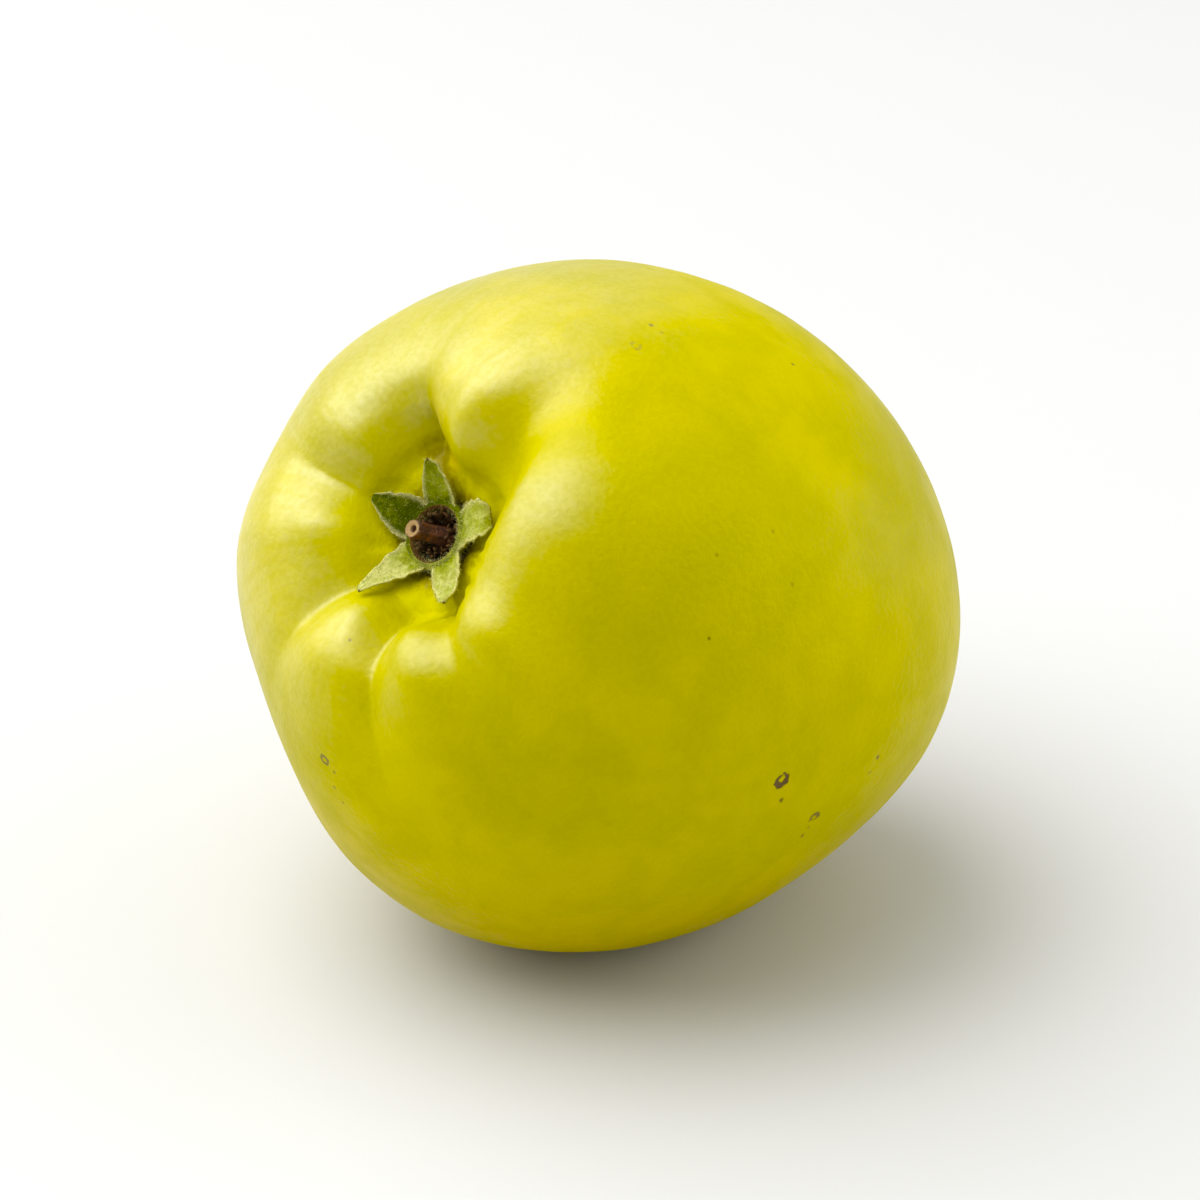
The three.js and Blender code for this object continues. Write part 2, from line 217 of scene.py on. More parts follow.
@dataclass(frozen=True)
class SkinForm:
    """The fruit's outer form in its own frame, in mm: azimuth 0 on x, the axis on z, the calyx end up.

    The profile's points are its stations, as distances from the axis and heights, from the eye to the stem.
    The widening is the azimuth, the width and the depth of the basin's wide side.
    """

    tilt: float = 36.7
    spot_depth: float = 1.3
    spot_blend: float = 0.3
    rib_height: float = 0.35
    part_rings: int = 57
    part_segments: int = 84
    profile: tuple[tuple[float, float], ...] = (
        (0, 28.0), (3.4, 28.3), (4.7, 30.6), (6.4, 33.7), (9.6, 36.7), (14.2, 38.5), (19.6, 37.9),
        (26.7, 33.2), (33.1, 25.6), (38.1, 15.5), (40.6, 3.8), (40.3, -8.1), (37.2, -19.5), (31.4, -29.6),
        (24.0, -37.8), (17.0, -43.2), (11.4, -46.8), (6.6, -47.4), (3.6, -45.8), (0, -45.2),
    )
    furrows: tuple[Furrow, ...] = (
        Furrow(25, -1.5, 2.8, 1.9, 1.1, 3.8, 6.3),
        Furrow(31, 0, 2.6, 5.0, 1.7, 4.0, 6.8),
        Furrow(-50, 8.5, 3.8, 5.2, 1.8, 4.6, 7.6),
        Furrow(-126, 0, 1.6, 2.2, 1.5, 4.6, 7.2),
        Furrow(-162, 0, 2.4, 2.4, 1.3, 4.6, 8.2),
        Furrow(155, 0, 2.2, 2.8, 1.4, 4.6, 7.6),
        Furrow(87, 0, 1.8, 3.4, 1.4, 4.2, 7.0),
    )
    knobs: tuple[Knob, ...] = (
        Knob(64, 1.4, 17, 2.8, 5.0),
        Knob(9, 0.6, 9, 2.8, 5.0),
        Knob(-15, 2.5, 17, 2.4, 5.2),
        Knob(-71, 2.4, 23, 4.4, 7.0),
        Knob(-112, 1.4, 9, 4.2, 6.2),
        Knob(-142, 1.9, 12, 3.4, 5.4),
        Knob(180, 1.5, 19, 3.0, 4.8),
        Knob(113, 1.7, 19, 2.6, 4.8),
    )
    swellings: tuple[Swelling, ...] = (
        Swelling(61, 144, 16, -1.6),
        Swelling(124, -128, 36, -2.4),
        Swelling(88, 176, 26, 1.4),
        Swelling(126, -58, 30, 1.0),
        Swelling(112, 30, 40, 0.8),
        Swelling(171, 70, 9, 1.6),
    )
    widening: tuple[float, float, float] = (-132.0, 44.0, 2.9)

    @property
    def stations(self) -> int:
        """The number of the profile's last station."""
        return len(self.profile) - 1

    def furrow_depth(self, station: Array, azimuth: Array, radius: Array) -> Array:
        """How far the furrows take the skin in.

        Args:
            station: places along the profile.
            azimuth: places round the axis, in degrees.
            radius: distances from the axis, in mm.

        Returns:
            Depths in mm, 0 or more.
        """
        depth = np.zeros_like(station)
        for f in self.furrows:
            strength = band(station, 1.7, 3.6, f.fade, f.end)
            across = radius * np.radians(wrapped(azimuth - f.azimuth - f.drift * (station - 4)))
            depth += f.depth * strength * np.exp(-np.abs(across / f.width) ** f.sharpness)
        return depth

    def growth(self, station: Array, azimuth: Array, direction: Array) -> Array:
        """How far knobs, swellings, ribs and the basin's wide side move the skin out.

        Args:
            station: places along the profile.
            azimuth: places round the axis, in degrees.
            direction: unit vectors from the fruit's middle.

        Returns:
            Offsets in mm.
        """
        offset = np.zeros_like(station)
        for k in self.knobs:
            strength = band(station, k.start, k.full, 5.2, 9.5)
            offset += k.height * strength * hump(azimuth, k.azimuth, k.width)
        middle, width, depth = self.widening
        strength = band(station, 2.0, 3.2, 4.0, 6.4)
        offset -= depth * strength * hump(azimuth, middle, width)
        for s in self.swellings:
            polar = math.radians(s.polar)
            centre = outward(s.azimuth, math.sin(polar), math.cos(polar))
            angle = np.degrees(np.arccos(np.clip(direction @ centre, -1, 1)))
            offset += s.height * np.exp(-((angle / s.width) ** 2))
        ribs = band(station, 9, 15, 16.5, 18)
        return offset + self.rib_height * ribs * np.cos(5 * np.radians(azimuth) + 0.6)

    def points(self, t: Array, azimuth: Array, extra: Array | float = 0.0) -> Array:
        """Points of the skin in the fruit's own frame.

        Args:
            t: places from the eye, 0, to the stem, 1.
            azimuth: places round the axis, in degrees.
            extra: a further offset along the skin's normal, in mm.

        Returns:
            The points in mm, with one more axis than t.
        """
        step = 1e-3
        q = spline(self.profile, t)
        along = unit(spline(self.profile, t + step) - spline(self.profile, t - step))
        direction = unit(outward(azimuth, q[..., 0], q[..., 1]))
        station = t * self.stations
        offset = self.growth(station, azimuth, direction) + extra
        offset = offset - self.furrow_depth(station, azimuth, q[..., 0])
        radius = np.maximum(q[..., 0] - along[..., 1] * offset, 0.0)
        return outward(azimuth, radius, q[..., 1] + along[..., 0] * offset)

    def turned(self, points: Array) -> Array:
        """Points turned from the fruit's own frame to the row's."""
        a = math.radians(self.tilt)
        basis = np.array([(0, math.sin(a), math.cos(a)), (-1, 0, 0), (0, -math.cos(a), math.sin(a))])
        return points @ basis

    def place(self) -> Array:
        """The shift that lays the fruit on the ground, worked out from the part's own coarser rings."""
        t = np.arange(self.part_rings + 1) / self.part_rings
        azimuth = np.arange(self.part_segments) * 360 / self.part_segments
        grid = self.turned(self.points(*np.meshgrid(t, azimuth, indexing="ij"))).reshape(-1, 3)
        low, high = grid.min(0), grid.max(0)
        return np.array([-(low[0] + high[0]) / 2, -(low[1] + high[1]) / 2, -low[2] - self.spot_depth])

    def rested(self, z: Array) -> Array:
        """Heights after resting: flat under the spot, then rounding smoothly into the skin above."""
        blend = (z + self.spot_blend) ** 2 / (4 * self.spot_blend)
        return np.where(z < -self.spot_blend, 0.0, np.where(z < self.spot_blend, blend, z))


@dataclass
class Mould:
    """Makes mesh objects from points in the fruit's own frame, laid where the CAD part lies."""

    form: SkinForm
    shift: Array = field(init=False)

    def __post_init__(self) -> None:
        """Works out once where the fruit lies."""
        self.shift = self.form.place()

    def to_row(self, points: Array) -> Array:
        """Points in mm in the row's frame, from points in the fruit's own frame."""
        return self.form.turned(points) + self.shift

    def cast(self, name: str, row_points: Array, faces: Sequence, values: dict[str, Array]) -> Piece:
        """A smooth mesh object with named values on its points.

        Args:
            name: the piece's name.
            row_points: its points in mm in the row's frame.
            faces: point numbers of each face.
            values: a number for each point, under the name that materials read.

        Returns:
            The new object, in the scene.
        """
        mesh = bpy.data.meshes.new(name)
        mesh.from_pydata((row_points.reshape(-1, 3) * MM).tolist(), [], [list(f) for f in faces])
        mesh.validate()
        mesh.update()
        mesh.polygons.foreach_set("use_smooth", [True] * len(mesh.polygons))
        for key, numbers in values.items():
            attribute = mesh.attributes.new(key, "FLOAT", "POINT")
            attribute.data.foreach_set("value", np.asarray(numbers, float).reshape(-1))
        piece = bpy.data.objects.new(name, mesh)
        bpy.context.scene.collection.objects.link(piece)
        return piece


def ring_faces(rings: int, around: int, start: int = 0) -> list[tuple[int, ...]]:
    """Faces of a tube of rings whose points follow each other.

    Args:
        rings: how many rings.
        around: how many points each has.
        start: the first point's number.

    Returns:
        Four-sided faces that close round the tube.
    """
    faces = []
    for i in range(rings - 1):
        for j in range(around):
            a, b = start + i * around + j, start + i * around + (j + 1) % around
            faces.append((a, a + around, b + around, b))
    return faces


def fan(middle: int, first: int, around: int, flipped: bool = False) -> list[tuple[int, ...]]:
    """Triangles between a middle point and a ring of points that starts at first."""
    turn = -1 if flipped else 1
    return [(middle, *(first + j, first + (j + 1) % around)[::turn]) for j in range(around)]


class Sheet:
    """A node tree with short calls to add nodes and join them."""

    def __init__(self, tree: bpy.types.NodeTree) -> None:
        """Takes the tree that nodes are added to."""
        self.tree = tree

    def add(self, kind: str, inputs: dict | None = None, **settings: object) -> Node:
        """Adds a node.

        Args:
            kind: the node's type without "ShaderNode".
            inputs: a value or another node's socket for each input, by name or number.
            settings: the node's own properties.

        Returns:
            The new node.
        """
        node = self.tree.nodes.new("ShaderNode" + kind)
        for key, value in settings.items():
            setattr(node, key, value)
        for key, value in (inputs or {}).items():
            if isinstance(value, Socket):
                self.tree.links.new(value, node.inputs[key])
            else:
                node.inputs[key].default_value = value
        return node

    def maths(self, operation: str, a: object, b: object = 0.0, clamp: bool = False) -> Socket:
        """The result of one maths node on two values or sockets."""
        return self.add("Math", {0: a, 1: b}, operation=operation, use_clamp=clamp).outputs[0]

    def times(self, a: object, b: object) -> Socket:
        """The product of two values or sockets."""
        return self.maths("MULTIPLY", a, b)

    def less(self, a: object, b: object) -> Socket:
        """The first value or socket less the second."""
        return self.maths("SUBTRACT", a, b)

    def plus(self, a: object, b: object, clamp: bool = False) -> Socket:
        """The sum of two values or sockets, kept between 0 and 1 if asked."""
        return self.maths("ADD", a, b, clamp)

    def mix(self, factor: object, a: object, b: object) -> Socket:
        """A colour between a and b."""
        given = {0: factor, 6: opaque(a), 7: opaque(b)}
        return self.add("Mix", given, data_type="RGBA").outputs[2]

    def over(self, colour: object, top: object, mask: object, share: float) -> Socket:
        """A colour with another over it, where a mask is and for a share of it."""
        return self.mix(self.times(mask, share), colour, top)

    def ramp(self, value: object, start: float, stop: float) -> Socket:
        """A smooth step of a value from 0 at start to 1 at stop."""
        given = {"Value": value, "From Min": start, "From Max": stop}
        return self.add("MapRange", given, interpolation_type="SMOOTHSTEP").outputs[0]

    def noise(self, place: Socket, scale: object, detail: float, **more: object) -> Socket:
        """A noise texture's value at a place, with more of its inputs by their own names."""
        given = {"Vector": place, "Scale": scale, "Detail": detail, **more}
        return self.add("TexNoise", given).outputs["Fac"]

    def value(self, name: str) -> Socket:
        """The number that the mesh's points carry under a name."""
        return self.add("Attribute", attribute_name=name).outputs["Fac"]


def opaque(value: object) -> object:
    """A colour of three numbers with full alpha, or the socket that was given."""
    return (*value, 1.0) if isinstance(value, tuple) and len(value) == 3 else value


class Effect(Enum):
    """Effects that are used more than once, each a shader node group."""

    MOTTLE = "mottle"
    DOTS = "dots"
    WRINKLE = "wrinkle"


@dataclass
class Effects:
    """Builds each shared shader node group once."""

    made: dict[Effect, bpy.types.NodeTree] = field(default_factory=dict)

    def group(self, effect: Effect) -> bpy.types.NodeTree:
        """The node group of an effect, built at its first use."""
        if effect not in self.made:
            build = {Effect.MOTTLE: self.mottle, Effect.DOTS: self.dots, Effect.WRINKLE: self.wrinkle}
            self.made[effect] = build[effect]()
        return self.made[effect]

    def put(self, sheet: Sheet, effect: Effect, **inputs: object) -> Node:
        """Adds an effect to a material.

        Args:
            sheet: the material's nodes.
            effect: which effect.
            inputs: its values, by input name in lower case.

        Returns:
            The group node.
        """
        named = {name.capitalize(): value for name, value in inputs.items()}
        return sheet.add("Group", named, node_tree=self.group(effect))

    def start(
        self, effect: Effect, inputs: Sequence[str], outputs: Sequence[str]
    ) -> tuple[Sheet, dict, dict]:
        """Starts a node group.

        Args:
            effect: which effect.
            inputs: names of its number inputs, besides Position.
            outputs: names of its outputs.

        Returns:
            Its nodes, its input sockets by name, and its output sockets by name.
        """
        tree = bpy.data.node_groups.new(effect.value, "ShaderNodeTree")
        tree.interface.new_socket("Position", in_out="INPUT", socket_type="NodeSocketVector")
        for name in inputs:
            tree.interface.new_socket(name, in_out="INPUT", socket_type="NodeSocketFloat")
        for name in outputs:
            tree.interface.new_socket(name, in_out="OUTPUT", socket_type="NodeSocketFloat")
        source = tree.nodes.new("NodeGroupInput").outputs
        target = tree.nodes.new("NodeGroupOutput").inputs
        return Sheet(tree), {s.name: s for s in source if s.name}, {s.name: s for s in target if s.name}

    def mottle(self) -> bpy.types.NodeTree:
        """Soft patches of one size, with finer speckle inside them."""
        sheet, given, result = self.start(Effect.MOTTLE, ("Scale", "Stretch"), ("Patches", "Speckle"))
        place = given["Position"]
        turned = sheet.add("Mapping", {"Vector": place, "Rotation": (0.4, 0.9, 0.2)}).outputs[0]
        broad = sheet.noise(turned, given["Scale"], 3.0, Roughness=0.55, Distortion=given["Stretch"])
        speckle = sheet.noise(place, sheet.times(given["Scale"], 9.0), 2.0)
        sheet.tree.links.new(sheet.ramp(broad, 0.36, 0.66), result["Patches"])
        sheet.tree.links.new(sheet.ramp(speckle, 0.32, 0.68), result["Speckle"])
        return sheet.tree

    def dots(self) -> bpy.types.NodeTree:
        """Scattered round dots of uneven size."""
        sheet, given, result = self.start(Effect.DOTS, ("Scale", "Size", "Share"), ("Dots",))
        cells = sheet.add("TexVoronoi", {"Vector": given["Position"], "Scale": given["Scale"]})
        split = sheet.add("SeparateColor", {0: cells.outputs["Color"]})
        chosen = sheet.maths("LESS_THAN", split.outputs[0], given["Share"])
        own = sheet.times(given["Size"], sheet.plus(split.outputs[1], 0.35))
        near = sheet.maths("DIVIDE", cells.outputs["Distance"], own)
        spot = sheet.less(1.0, sheet.ramp(near, 0.55, 1.0))
        sheet.tree.links.new(sheet.times(spot, chosen), result["Dots"])
        return sheet.tree

    def wrinkle(self) -> bpy.types.NodeTree:
        """Shrunken creases for dried parts."""
        sheet, given, result = self.start(Effect.WRINKLE, ("Scale",), ("Height",))
        bent = sheet.noise(given["Position"], given["Scale"], 4.0, Distortion=1.4)
        ridge = sheet.maths("ABSOLUTE", sheet.less(bent, 0.5))
        sheet.tree.links.new(sheet.maths("MULTIPLY", ridge, 4.0, clamp=True), result["Height"])
        return sheet.tree


@dataclass(frozen=True)
class Finish:
    """What every finish shares: its material's name, its shader's constant values, and its bump.

    The bump is a strength, and its depth is in metres.
    """

    name: str
    roughness: float
    specular: float = 0.5
    specular_tint: Colour = (1.0, 1.0, 1.0)
    sheen: float = 0.0
    sheen_roughness: float = 0.4
    sheen_tint: Colour = (1.0, 1.0, 0.9)
    coat_roughness: float = 0.25
    coat_ior: float = 1.5
    subsurface: float = 0.0
    subsurface_radius: Colour = (1.0, 0.8, 0.2)
    subsurface_scale: float = 0.001
    bump: float = 0.7
    depth: float = 0.0002

    def begin(self) -> tuple[Material, Sheet, Node, Socket]:
        """Starts the material.

        Returns:
            The material, its nodes, its shader and the place on the object.
        """
        material = bpy.data.materials.new(self.name)
        material.use_nodes = True
        sheet = Sheet(material.node_tree)
        shader = sheet.tree.nodes["Principled BSDF"]
        constants = {
            "Roughness": self.roughness,
            "Specular IOR Level": self.specular,
            "Specular Tint": opaque(self.specular_tint),
            "Sheen Weight": self.sheen,
            "Sheen Roughness": self.sheen_roughness,
            "Sheen Tint": opaque(self.sheen_tint),
            "Coat Roughness": self.coat_roughness,
            "Coat IOR": self.coat_ior,
            "Subsurface Weight": self.subsurface,
            "Subsurface Radius": self.subsurface_radius,
            "Subsurface Scale": self.subsurface_scale,
        }
        for key, value in constants.items():
            shader.inputs[key].default_value = value
        return material, sheet, shader, sheet.add("TexCoord").outputs["Object"]

    def join(self, sheet: Sheet, shader: Node, colour: object, height: object) -> None:
        """Feeds a colour and a bump to the shader.

        Args:
            sheet: the material's nodes.
            shader: its Principled shader.
            colour: the base colour's socket.
            height: the bump's height socket.
        """
        sheet.tree.links.new(colour, shader.inputs["Base Color"])
        bump = sheet.add("Bump", {"Strength": self.bump, "Distance": self.depth, "Height": height})
        sheet.tree.links.new(bump.outputs[0], shader.inputs["Normal"])


@dataclass(frozen=True)
class SkinFinish(Finish):
    """Waxy ripe skin: yellow with greener and ochre patches, pores, brown flecks, and russet by the stem,
    with painted shade in its furrows, basin floor and eye, and a paler basin that is partly down and partly
    painted light.
    """

    yellow: Colour = (0.50, 0.43, 0.001)
    green: Colour = (0.36, 0.33, 0.001)
    ochre: Colour = (0.52, 0.375, 0.001)
    pale: Colour = (0.60, 0.56, 0.005)
    russet: Colour = (0.30, 0.17, 0.045)
    fleck: Colour = (0.075, 0.036, 0.001)
    # near-black brown in the eye: dried tissue, darkened further as painted shade in the deep hole
    eye_brown_and_painted_shade: Colour = (0.045, 0.028, 0.010)
    chafed: Colour = (0.56, 0.44, 0.09)
    # dark dry brown: real dried tissue in the crease and by the eye, also used as painted shade round the
    # sepals' bases
    dry: Colour = (0.17, 0.12, 0.008)

    def material(self, effects: Effects, dents: Sequence[tuple[Vector, Dent]]) -> Material:
        """The skin's material.

        Args:
            effects: the shared node groups.
            dents: where each fleck is, in the row's frame, and the fleck.

        Returns:
            The new material.
        """
        made, sheet, shader, place = self.begin()
        broad = effects.put(sheet, Effect.MOTTLE, position=place, scale=34.0, stretch=0.6).outputs
        cloud = effects.put(sheet, Effect.MOTTLE, position=place, scale=150.0, stretch=0.3).outputs
        pores = effects.put(sheet, Effect.DOTS, position=place, scale=640.0, size=0.16, share=0.6).outputs[0]
        tiny = effects.put(sheet, Effect.DOTS, position=place, scale=150.0, size=0.03, share=0.16).outputs[0]
        speckle = cloud["Speckle"]
        # dark dry brown: the real crack and dried eye rim, with painted shade in the basin floor round the
        # sepals
        dry_and_painted_shade = sheet.plus(sheet.value("dry"), sheet.times(speckle, 0.3))
        torn = sheet.plus(sheet.value("russet"), sheet.less(speckle, 0.5))
        layers = (
            (self.green, broad["Patches"], 0.7),
            # more ochre, slightly darker, on the side that faces down
            (self.ochre, sheet.value("sunny"), 0.6),
            # paler basin: partly the pale down there, partly painted light standing in for the glow in the
            # hollow
            (self.pale, sheet.value("hollow"), 0.75),
            # painted shade: the furrows are darkened towards green where shade falls in them
            (self.green, sheet.value("shade"), 0.4),
            (self.green, cloud["Patches"], 0.42),
            (self.pale, speckle, 0.14),
            (self.pale, pores, 0.10),
            (self.fleck, tiny, 0.5),
            (self.chafed, sheet.value("chafed"), 0.7),
            (self.dry, sheet.ramp(dry_and_painted_shade, 0.3, 1.1), 0.75),
            (self.russet, sheet.ramp(torn, 0.35, 1.0), 0.8),
            (self.fleck, self.flecks(sheet, place, dents), 1.0),
            (self.eye_brown_and_painted_shade, sheet.value("eye"), 1.0),
        )
        colour: object = self.yellow
        for top, mask, share in layers:
            colour = sheet.over(colour, top, mask, share)
        height = sheet.plus(sheet.times(speckle, 0.6), sheet.times(pores, -0.5))
        self.join(sheet, shader, colour, height)
        gloss = sheet.plus(self.roughness - 0.05, sheet.times(cloud["Patches"], 0.1))
        sheet.tree.links.new(gloss, shader.inputs["Roughness"])
        uneven = sheet.plus(0.82, sheet.times(speckle, 0.25))
        sheet.tree.links.new(sheet.times(sheet.value("wax"), uneven), shader.inputs["Coat Weight"])
        return made

    @staticmethod
    def flecks(sheet: Sheet, place: Socket, dents: Sequence[tuple[Vector, Dent]]) -> Socket:
        """Where the dry flecks are.

        Args:
            sheet: the material's nodes.
            place: the place on the object.
            dents: where each fleck is, in metres, and the fleck.

        Returns:
            A mask of all of them.
        """
        ragged = sheet.noise(place, 1500.0, 3.0)
        broken = sheet.ramp(sheet.noise(place, 700.0, 1.0), 0.5, 0.62)
        total: object = 0.0
        for centre, dent in dents:
            ends = {0: place, 1: tuple(centre)}
            away = sheet.add("VectorMath", ends, operation="DISTANCE").outputs["Value"]
            near = sheet.plus(sheet.maths("DIVIDE", away, dent.radius * MM), ragged)
            if dent.form is DentForm.RING:
                near = sheet.times(sheet.maths("ABSOLUTE", sheet.less(near, 1.4)), 2.6)
                near = sheet.plus(near, broken)
            spot = sheet.less(1.0, sheet.ramp(near, 0.7, 1.4))
            total = sheet.maths("MAXIMUM", total, sheet.times(spot, dent.darkness))
        return total


@dataclass(frozen=True)
class SepalFinish(Finish):
    """Downy dry green, paler along the edges and brown at the tips, with painted light: each sepal's set tone
    makes it paler or darker green, and its base is darkened as painted shade.
    """

    green: Colour = (0.052, 0.072, 0.001)
    fresh: Colour = (0.245, 0.275, 0.030)
    light: Colour = (0.53, 0.53, 0.21)
    pale: Colour = (0.66, 0.62, 0.30)
    brown: Colour = (0.10, 0.055, 0.018)

    def material(self, effects: Effects) -> Material:
        """The sepals' material, from the shared node groups."""
        made, sheet, shader, place = self.begin()
        patches = effects.put(sheet, Effect.MOTTLE, position=place, scale=900.0, stretch=0.4).outputs
        folds = effects.put(sheet, Effect.WRINKLE, position=place, scale=800.0).outputs[0]
        along, across = sheet.value("along"), sheet.value("across")
        speckle = patches["Speckle"]
        felt = sheet.times(sheet.less(patches["Patches"], 0.5), 0.24)
        felt = sheet.plus(felt, sheet.times(sheet.less(speckle, 0.5), 0.2))
        # painted shade: each sepal is darkened towards its base, down in the eye. The tone read here is
        # painted light, with real felt patches added.
        base = sheet.times(sheet.less(1.0, sheet.ramp(along, 0.08, 0.36)), 0.35)
        tone = sheet.less(sheet.plus(sheet.value("tone"), felt), base)
        colour = sheet.mix(sheet.ramp(tone, -0.1, 0.6), self.green, self.fresh)
        colour = sheet.mix(sheet.ramp(tone, 0.45, 1.1), colour, self.light)
        colour = sheet.over(colour, self.light, sheet.value("outer"), 0.4)
        edge = sheet.times(sheet.ramp(across, 0.66, 0.98), sheet.plus(speckle, 0.3, clamp=True))
        colour = sheet.over(colour, self.pale, edge, 0.85)
        dry = sheet.plus(along, sheet.times(speckle, 0.12))
        colour = sheet.mix(sheet.ramp(dry, 0.96, 1.06), colour, self.brown)
        vein = sheet.less(1.0, sheet.ramp(across, 0.0, 0.16))
        self.join(sheet, shader, colour, sheet.plus(sheet.times(vein, 0.5), folds))
        return made


@dataclass(frozen=True)
class DriedFinish(Finish):
    """Shrunken dry tissue with a paler cut or broken end."""

    dark: Colour = (0.05, 0.02, 0.012)
    light: Colour = (0.14, 0.06, 0.035)
    cut: Colour = (0.42, 0.26, 0.14)
    grain: float = 500.0

    def material(self, effects: Effects) -> Material:
        """The dried piece's material, from the shared node groups."""
        made, sheet, shader, place = self.begin()
        patches = effects.put(sheet, Effect.MOTTLE, position=place, scale=self.grain, stretch=0.8).outputs
        folds = effects.put(sheet, Effect.WRINKLE, position=place, scale=self.grain * 1.6).outputs[0]
        colour = sheet.mix(patches["Patches"], self.dark, self.light)
        colour = sheet.over(colour, self.light, patches["Speckle"], 0.25)
        cut = sheet.times(sheet.value("cut"), sheet.plus(0.7, patches["Speckle"], clamp=True))
        colour = sheet.mix(cut, colour, self.cut)
        self.join(sheet, shader, colour, folds)
        return made


@dataclass(frozen=True)
class DownFinish(Finish):
    """Fine pale hairs, greyer at their roots."""

    root: Colour = (0.36, 0.37, 0.10)
    tip: Colour = (0.64, 0.62, 0.30)

    def material(self, effects: Effects) -> Material:
        """The hairs' material, from the shared node groups."""
        made, sheet, shader, place = self.begin()
        patches = effects.put(sheet, Effect.MOTTLE, position=place, scale=600.0, stretch=0.2).outputs
        colour = sheet.mix(sheet.value("along"), self.root, self.tip)
        colour = sheet.over(colour, self.root, patches["Patches"], 0.3)
        self.join(sheet, shader, colour, patches["Speckle"])
        return made


@dataclass
class Fruit:
    """The fruit itself, with its furrowed basin, its flat resting spot and its dry flecks.

    Its uneven relief is given as heights, sizes and seeds in mm, its sides are azimuths in degrees, and its
    bloom is the direction in which its wax is thickest.
    """

    mould: Mould
    effects: Effects
    rings: int = 286
    around: int = 320
    finish: SkinFinish = SkinFinish(
        "quince_skin", roughness=0.46, specular=0.6, specular_tint=(1.0, 0.97, 0.6), coat_roughness=0.44,
        coat_ior=1.95, bump=0.35, depth=0.00012,
    )
    bloom: tuple[float, float, float] = (-0.276, -0.565, 0.779)
    dents: tuple[Dent, ...] = DENTS
    uneven: tuple[tuple[float, float, float], ...] = ((0.10, 11.0, 0.0), (0.05, 4.5, 7.0))
    settled: float = 0.03
    pucker_height: float = 0.07
    pucker_count: int = 19
    pleat_height: float = 0.22
    pleat_count: int = 33
    pleat_side: float = -112.0
    collar_grain: float = 0.14
    chafed_side: float = 12.0
    creased_side: float = 30.0
    dull_side: float = -41.0

    def centre(self, dent: Dent) -> Array:
        """A blemish's middle in the fruit's own frame."""
        form = self.mould.form
        return form.points(np.array(dent.station / form.stations), np.array(float(dent.azimuth)))

    def relief(self, t: Array, azimuth: Array) -> Array:
        """The skin's small unevenness.

        Args:
            t: places from the eye to the stem.
            azimuth: places round the axis, in degrees.

        Returns:
            Offsets along the normal, in mm.
        """
        form = self.mould.form
        points = form.points(t, azimuth)
        station = t * form.stations
        offset = sum(height * rough(points, *pattern) for height, *pattern in self.uneven) - self.settled
        puckers = np.cos(np.radians(azimuth) * self.pucker_count + 3.0 * rough(points, 5.0, 3.0))
        offset += self.pucker_height * puckers * band(station, 1.6, 2.4, 3.0, 4.2)
        pleats = np.cos(np.radians(azimuth) * self.pleat_count + 4.0 * rough(points, 4.0, 21.0))
        pleats = pleats * hump(azimuth, self.pleat_side, 34.0)
        offset += self.pleat_height * pleats * band(station, 2.0, 3.0, 3.8, 5.4)
        offset += self.collar_grain * rough(points, 1.3, 11.0) * rise(station, 16.4, 18.2)
        for dent in self.dents:
            away = np.linalg.norm(points - self.centre(dent), axis=-1) / (dent.radius * 1.3)
            offset -= dent.depth * np.exp(-(away**2))
        return offset * rise(station, 0.2, 1.0) * (1 - 0.5 * rise(station, 18.6, 19.0))

    def masks(self, local: Array, t: Array, azimuth: Array) -> dict[str, Array]:
        """Where each of the skin's colours and its wax lie.

        Args:
            local: the skin's points in the fruit's own frame.
            t: their places from the eye to the stem.
            azimuth: their places round the axis, in degrees.

        Returns:
            A number from 0 to 1 for each point, under each name that the finish reads.
        """
        form = self.mould.form
        station = t * form.stations
        furrow = form.furrow_depth(station, azimuth, spline(form.profile, t)[..., 0])
        facing = form.turned(unit(local))
        streaks = rough(np.stack([azimuth * 0.35, station * 0.8, 0 * station], -1), 1.0, 17.0)
        wax = rise(facing @ np.array(self.bloom), 0.40, 0.86) * rise(station, 2.9, 4.6)
        wax = wax * np.clip(0.9 + 0.30 * streaks + 0.15 * rough(local, 2.5, 31.0), 0, 1)
        flank = band(station, 2.0, 3.2, 4.4, 5.6) * hump(azimuth, self.chafed_side, 8.0)
        # dark dry brown along the crease and round the eye: the crack and dried rim are real, the darkening
        # round the sepals' bases is painted shade
        creased = hump(azimuth, self.creased_side, 14.0) * (1 - rise(station, 2.6, 4.6))
        dry_and_painted_shade = 0.9 * creased + (1 - rise(station, 1.9, 2.9)) + 0.2 * rough(local, 2.0, 13.0)
        return {
            # painted shade in the furrows near the basin
            "shade": np.clip(0.30 * furrow * (1 - rise(station, 5.0, 8.0)), 0, 1),
            # more ochre, slightly darker, on the side that faces down
            "sunny": rise(0.35 * rough(local, 26.0, 5.0) - facing[..., 2], 0.15, 0.95),
            "russet": rise(station, 16.2, 18.6),
            # paler basin: partly pale down, partly painted light for the glow in the hollow
            "hollow": band(station, 1.2, 2.0, 3.0, 5.6),
            # the eye's floor: dried tissue, painted near-black as shade in the deep hole
            "eye": 1 - rise(station + 0.25 * rough(local, 1.0, 2.0), 1.25, 2.0),
            "chafed": flank * (0.8 + 0.4 * rough(local, 1.5, 9.0)),
            "dry": np.clip(dry_and_painted_shade, 0, 1),
            "wax": wax * (1 - 0.85 * hump(azimuth, self.dull_side, 15.0)),
        }

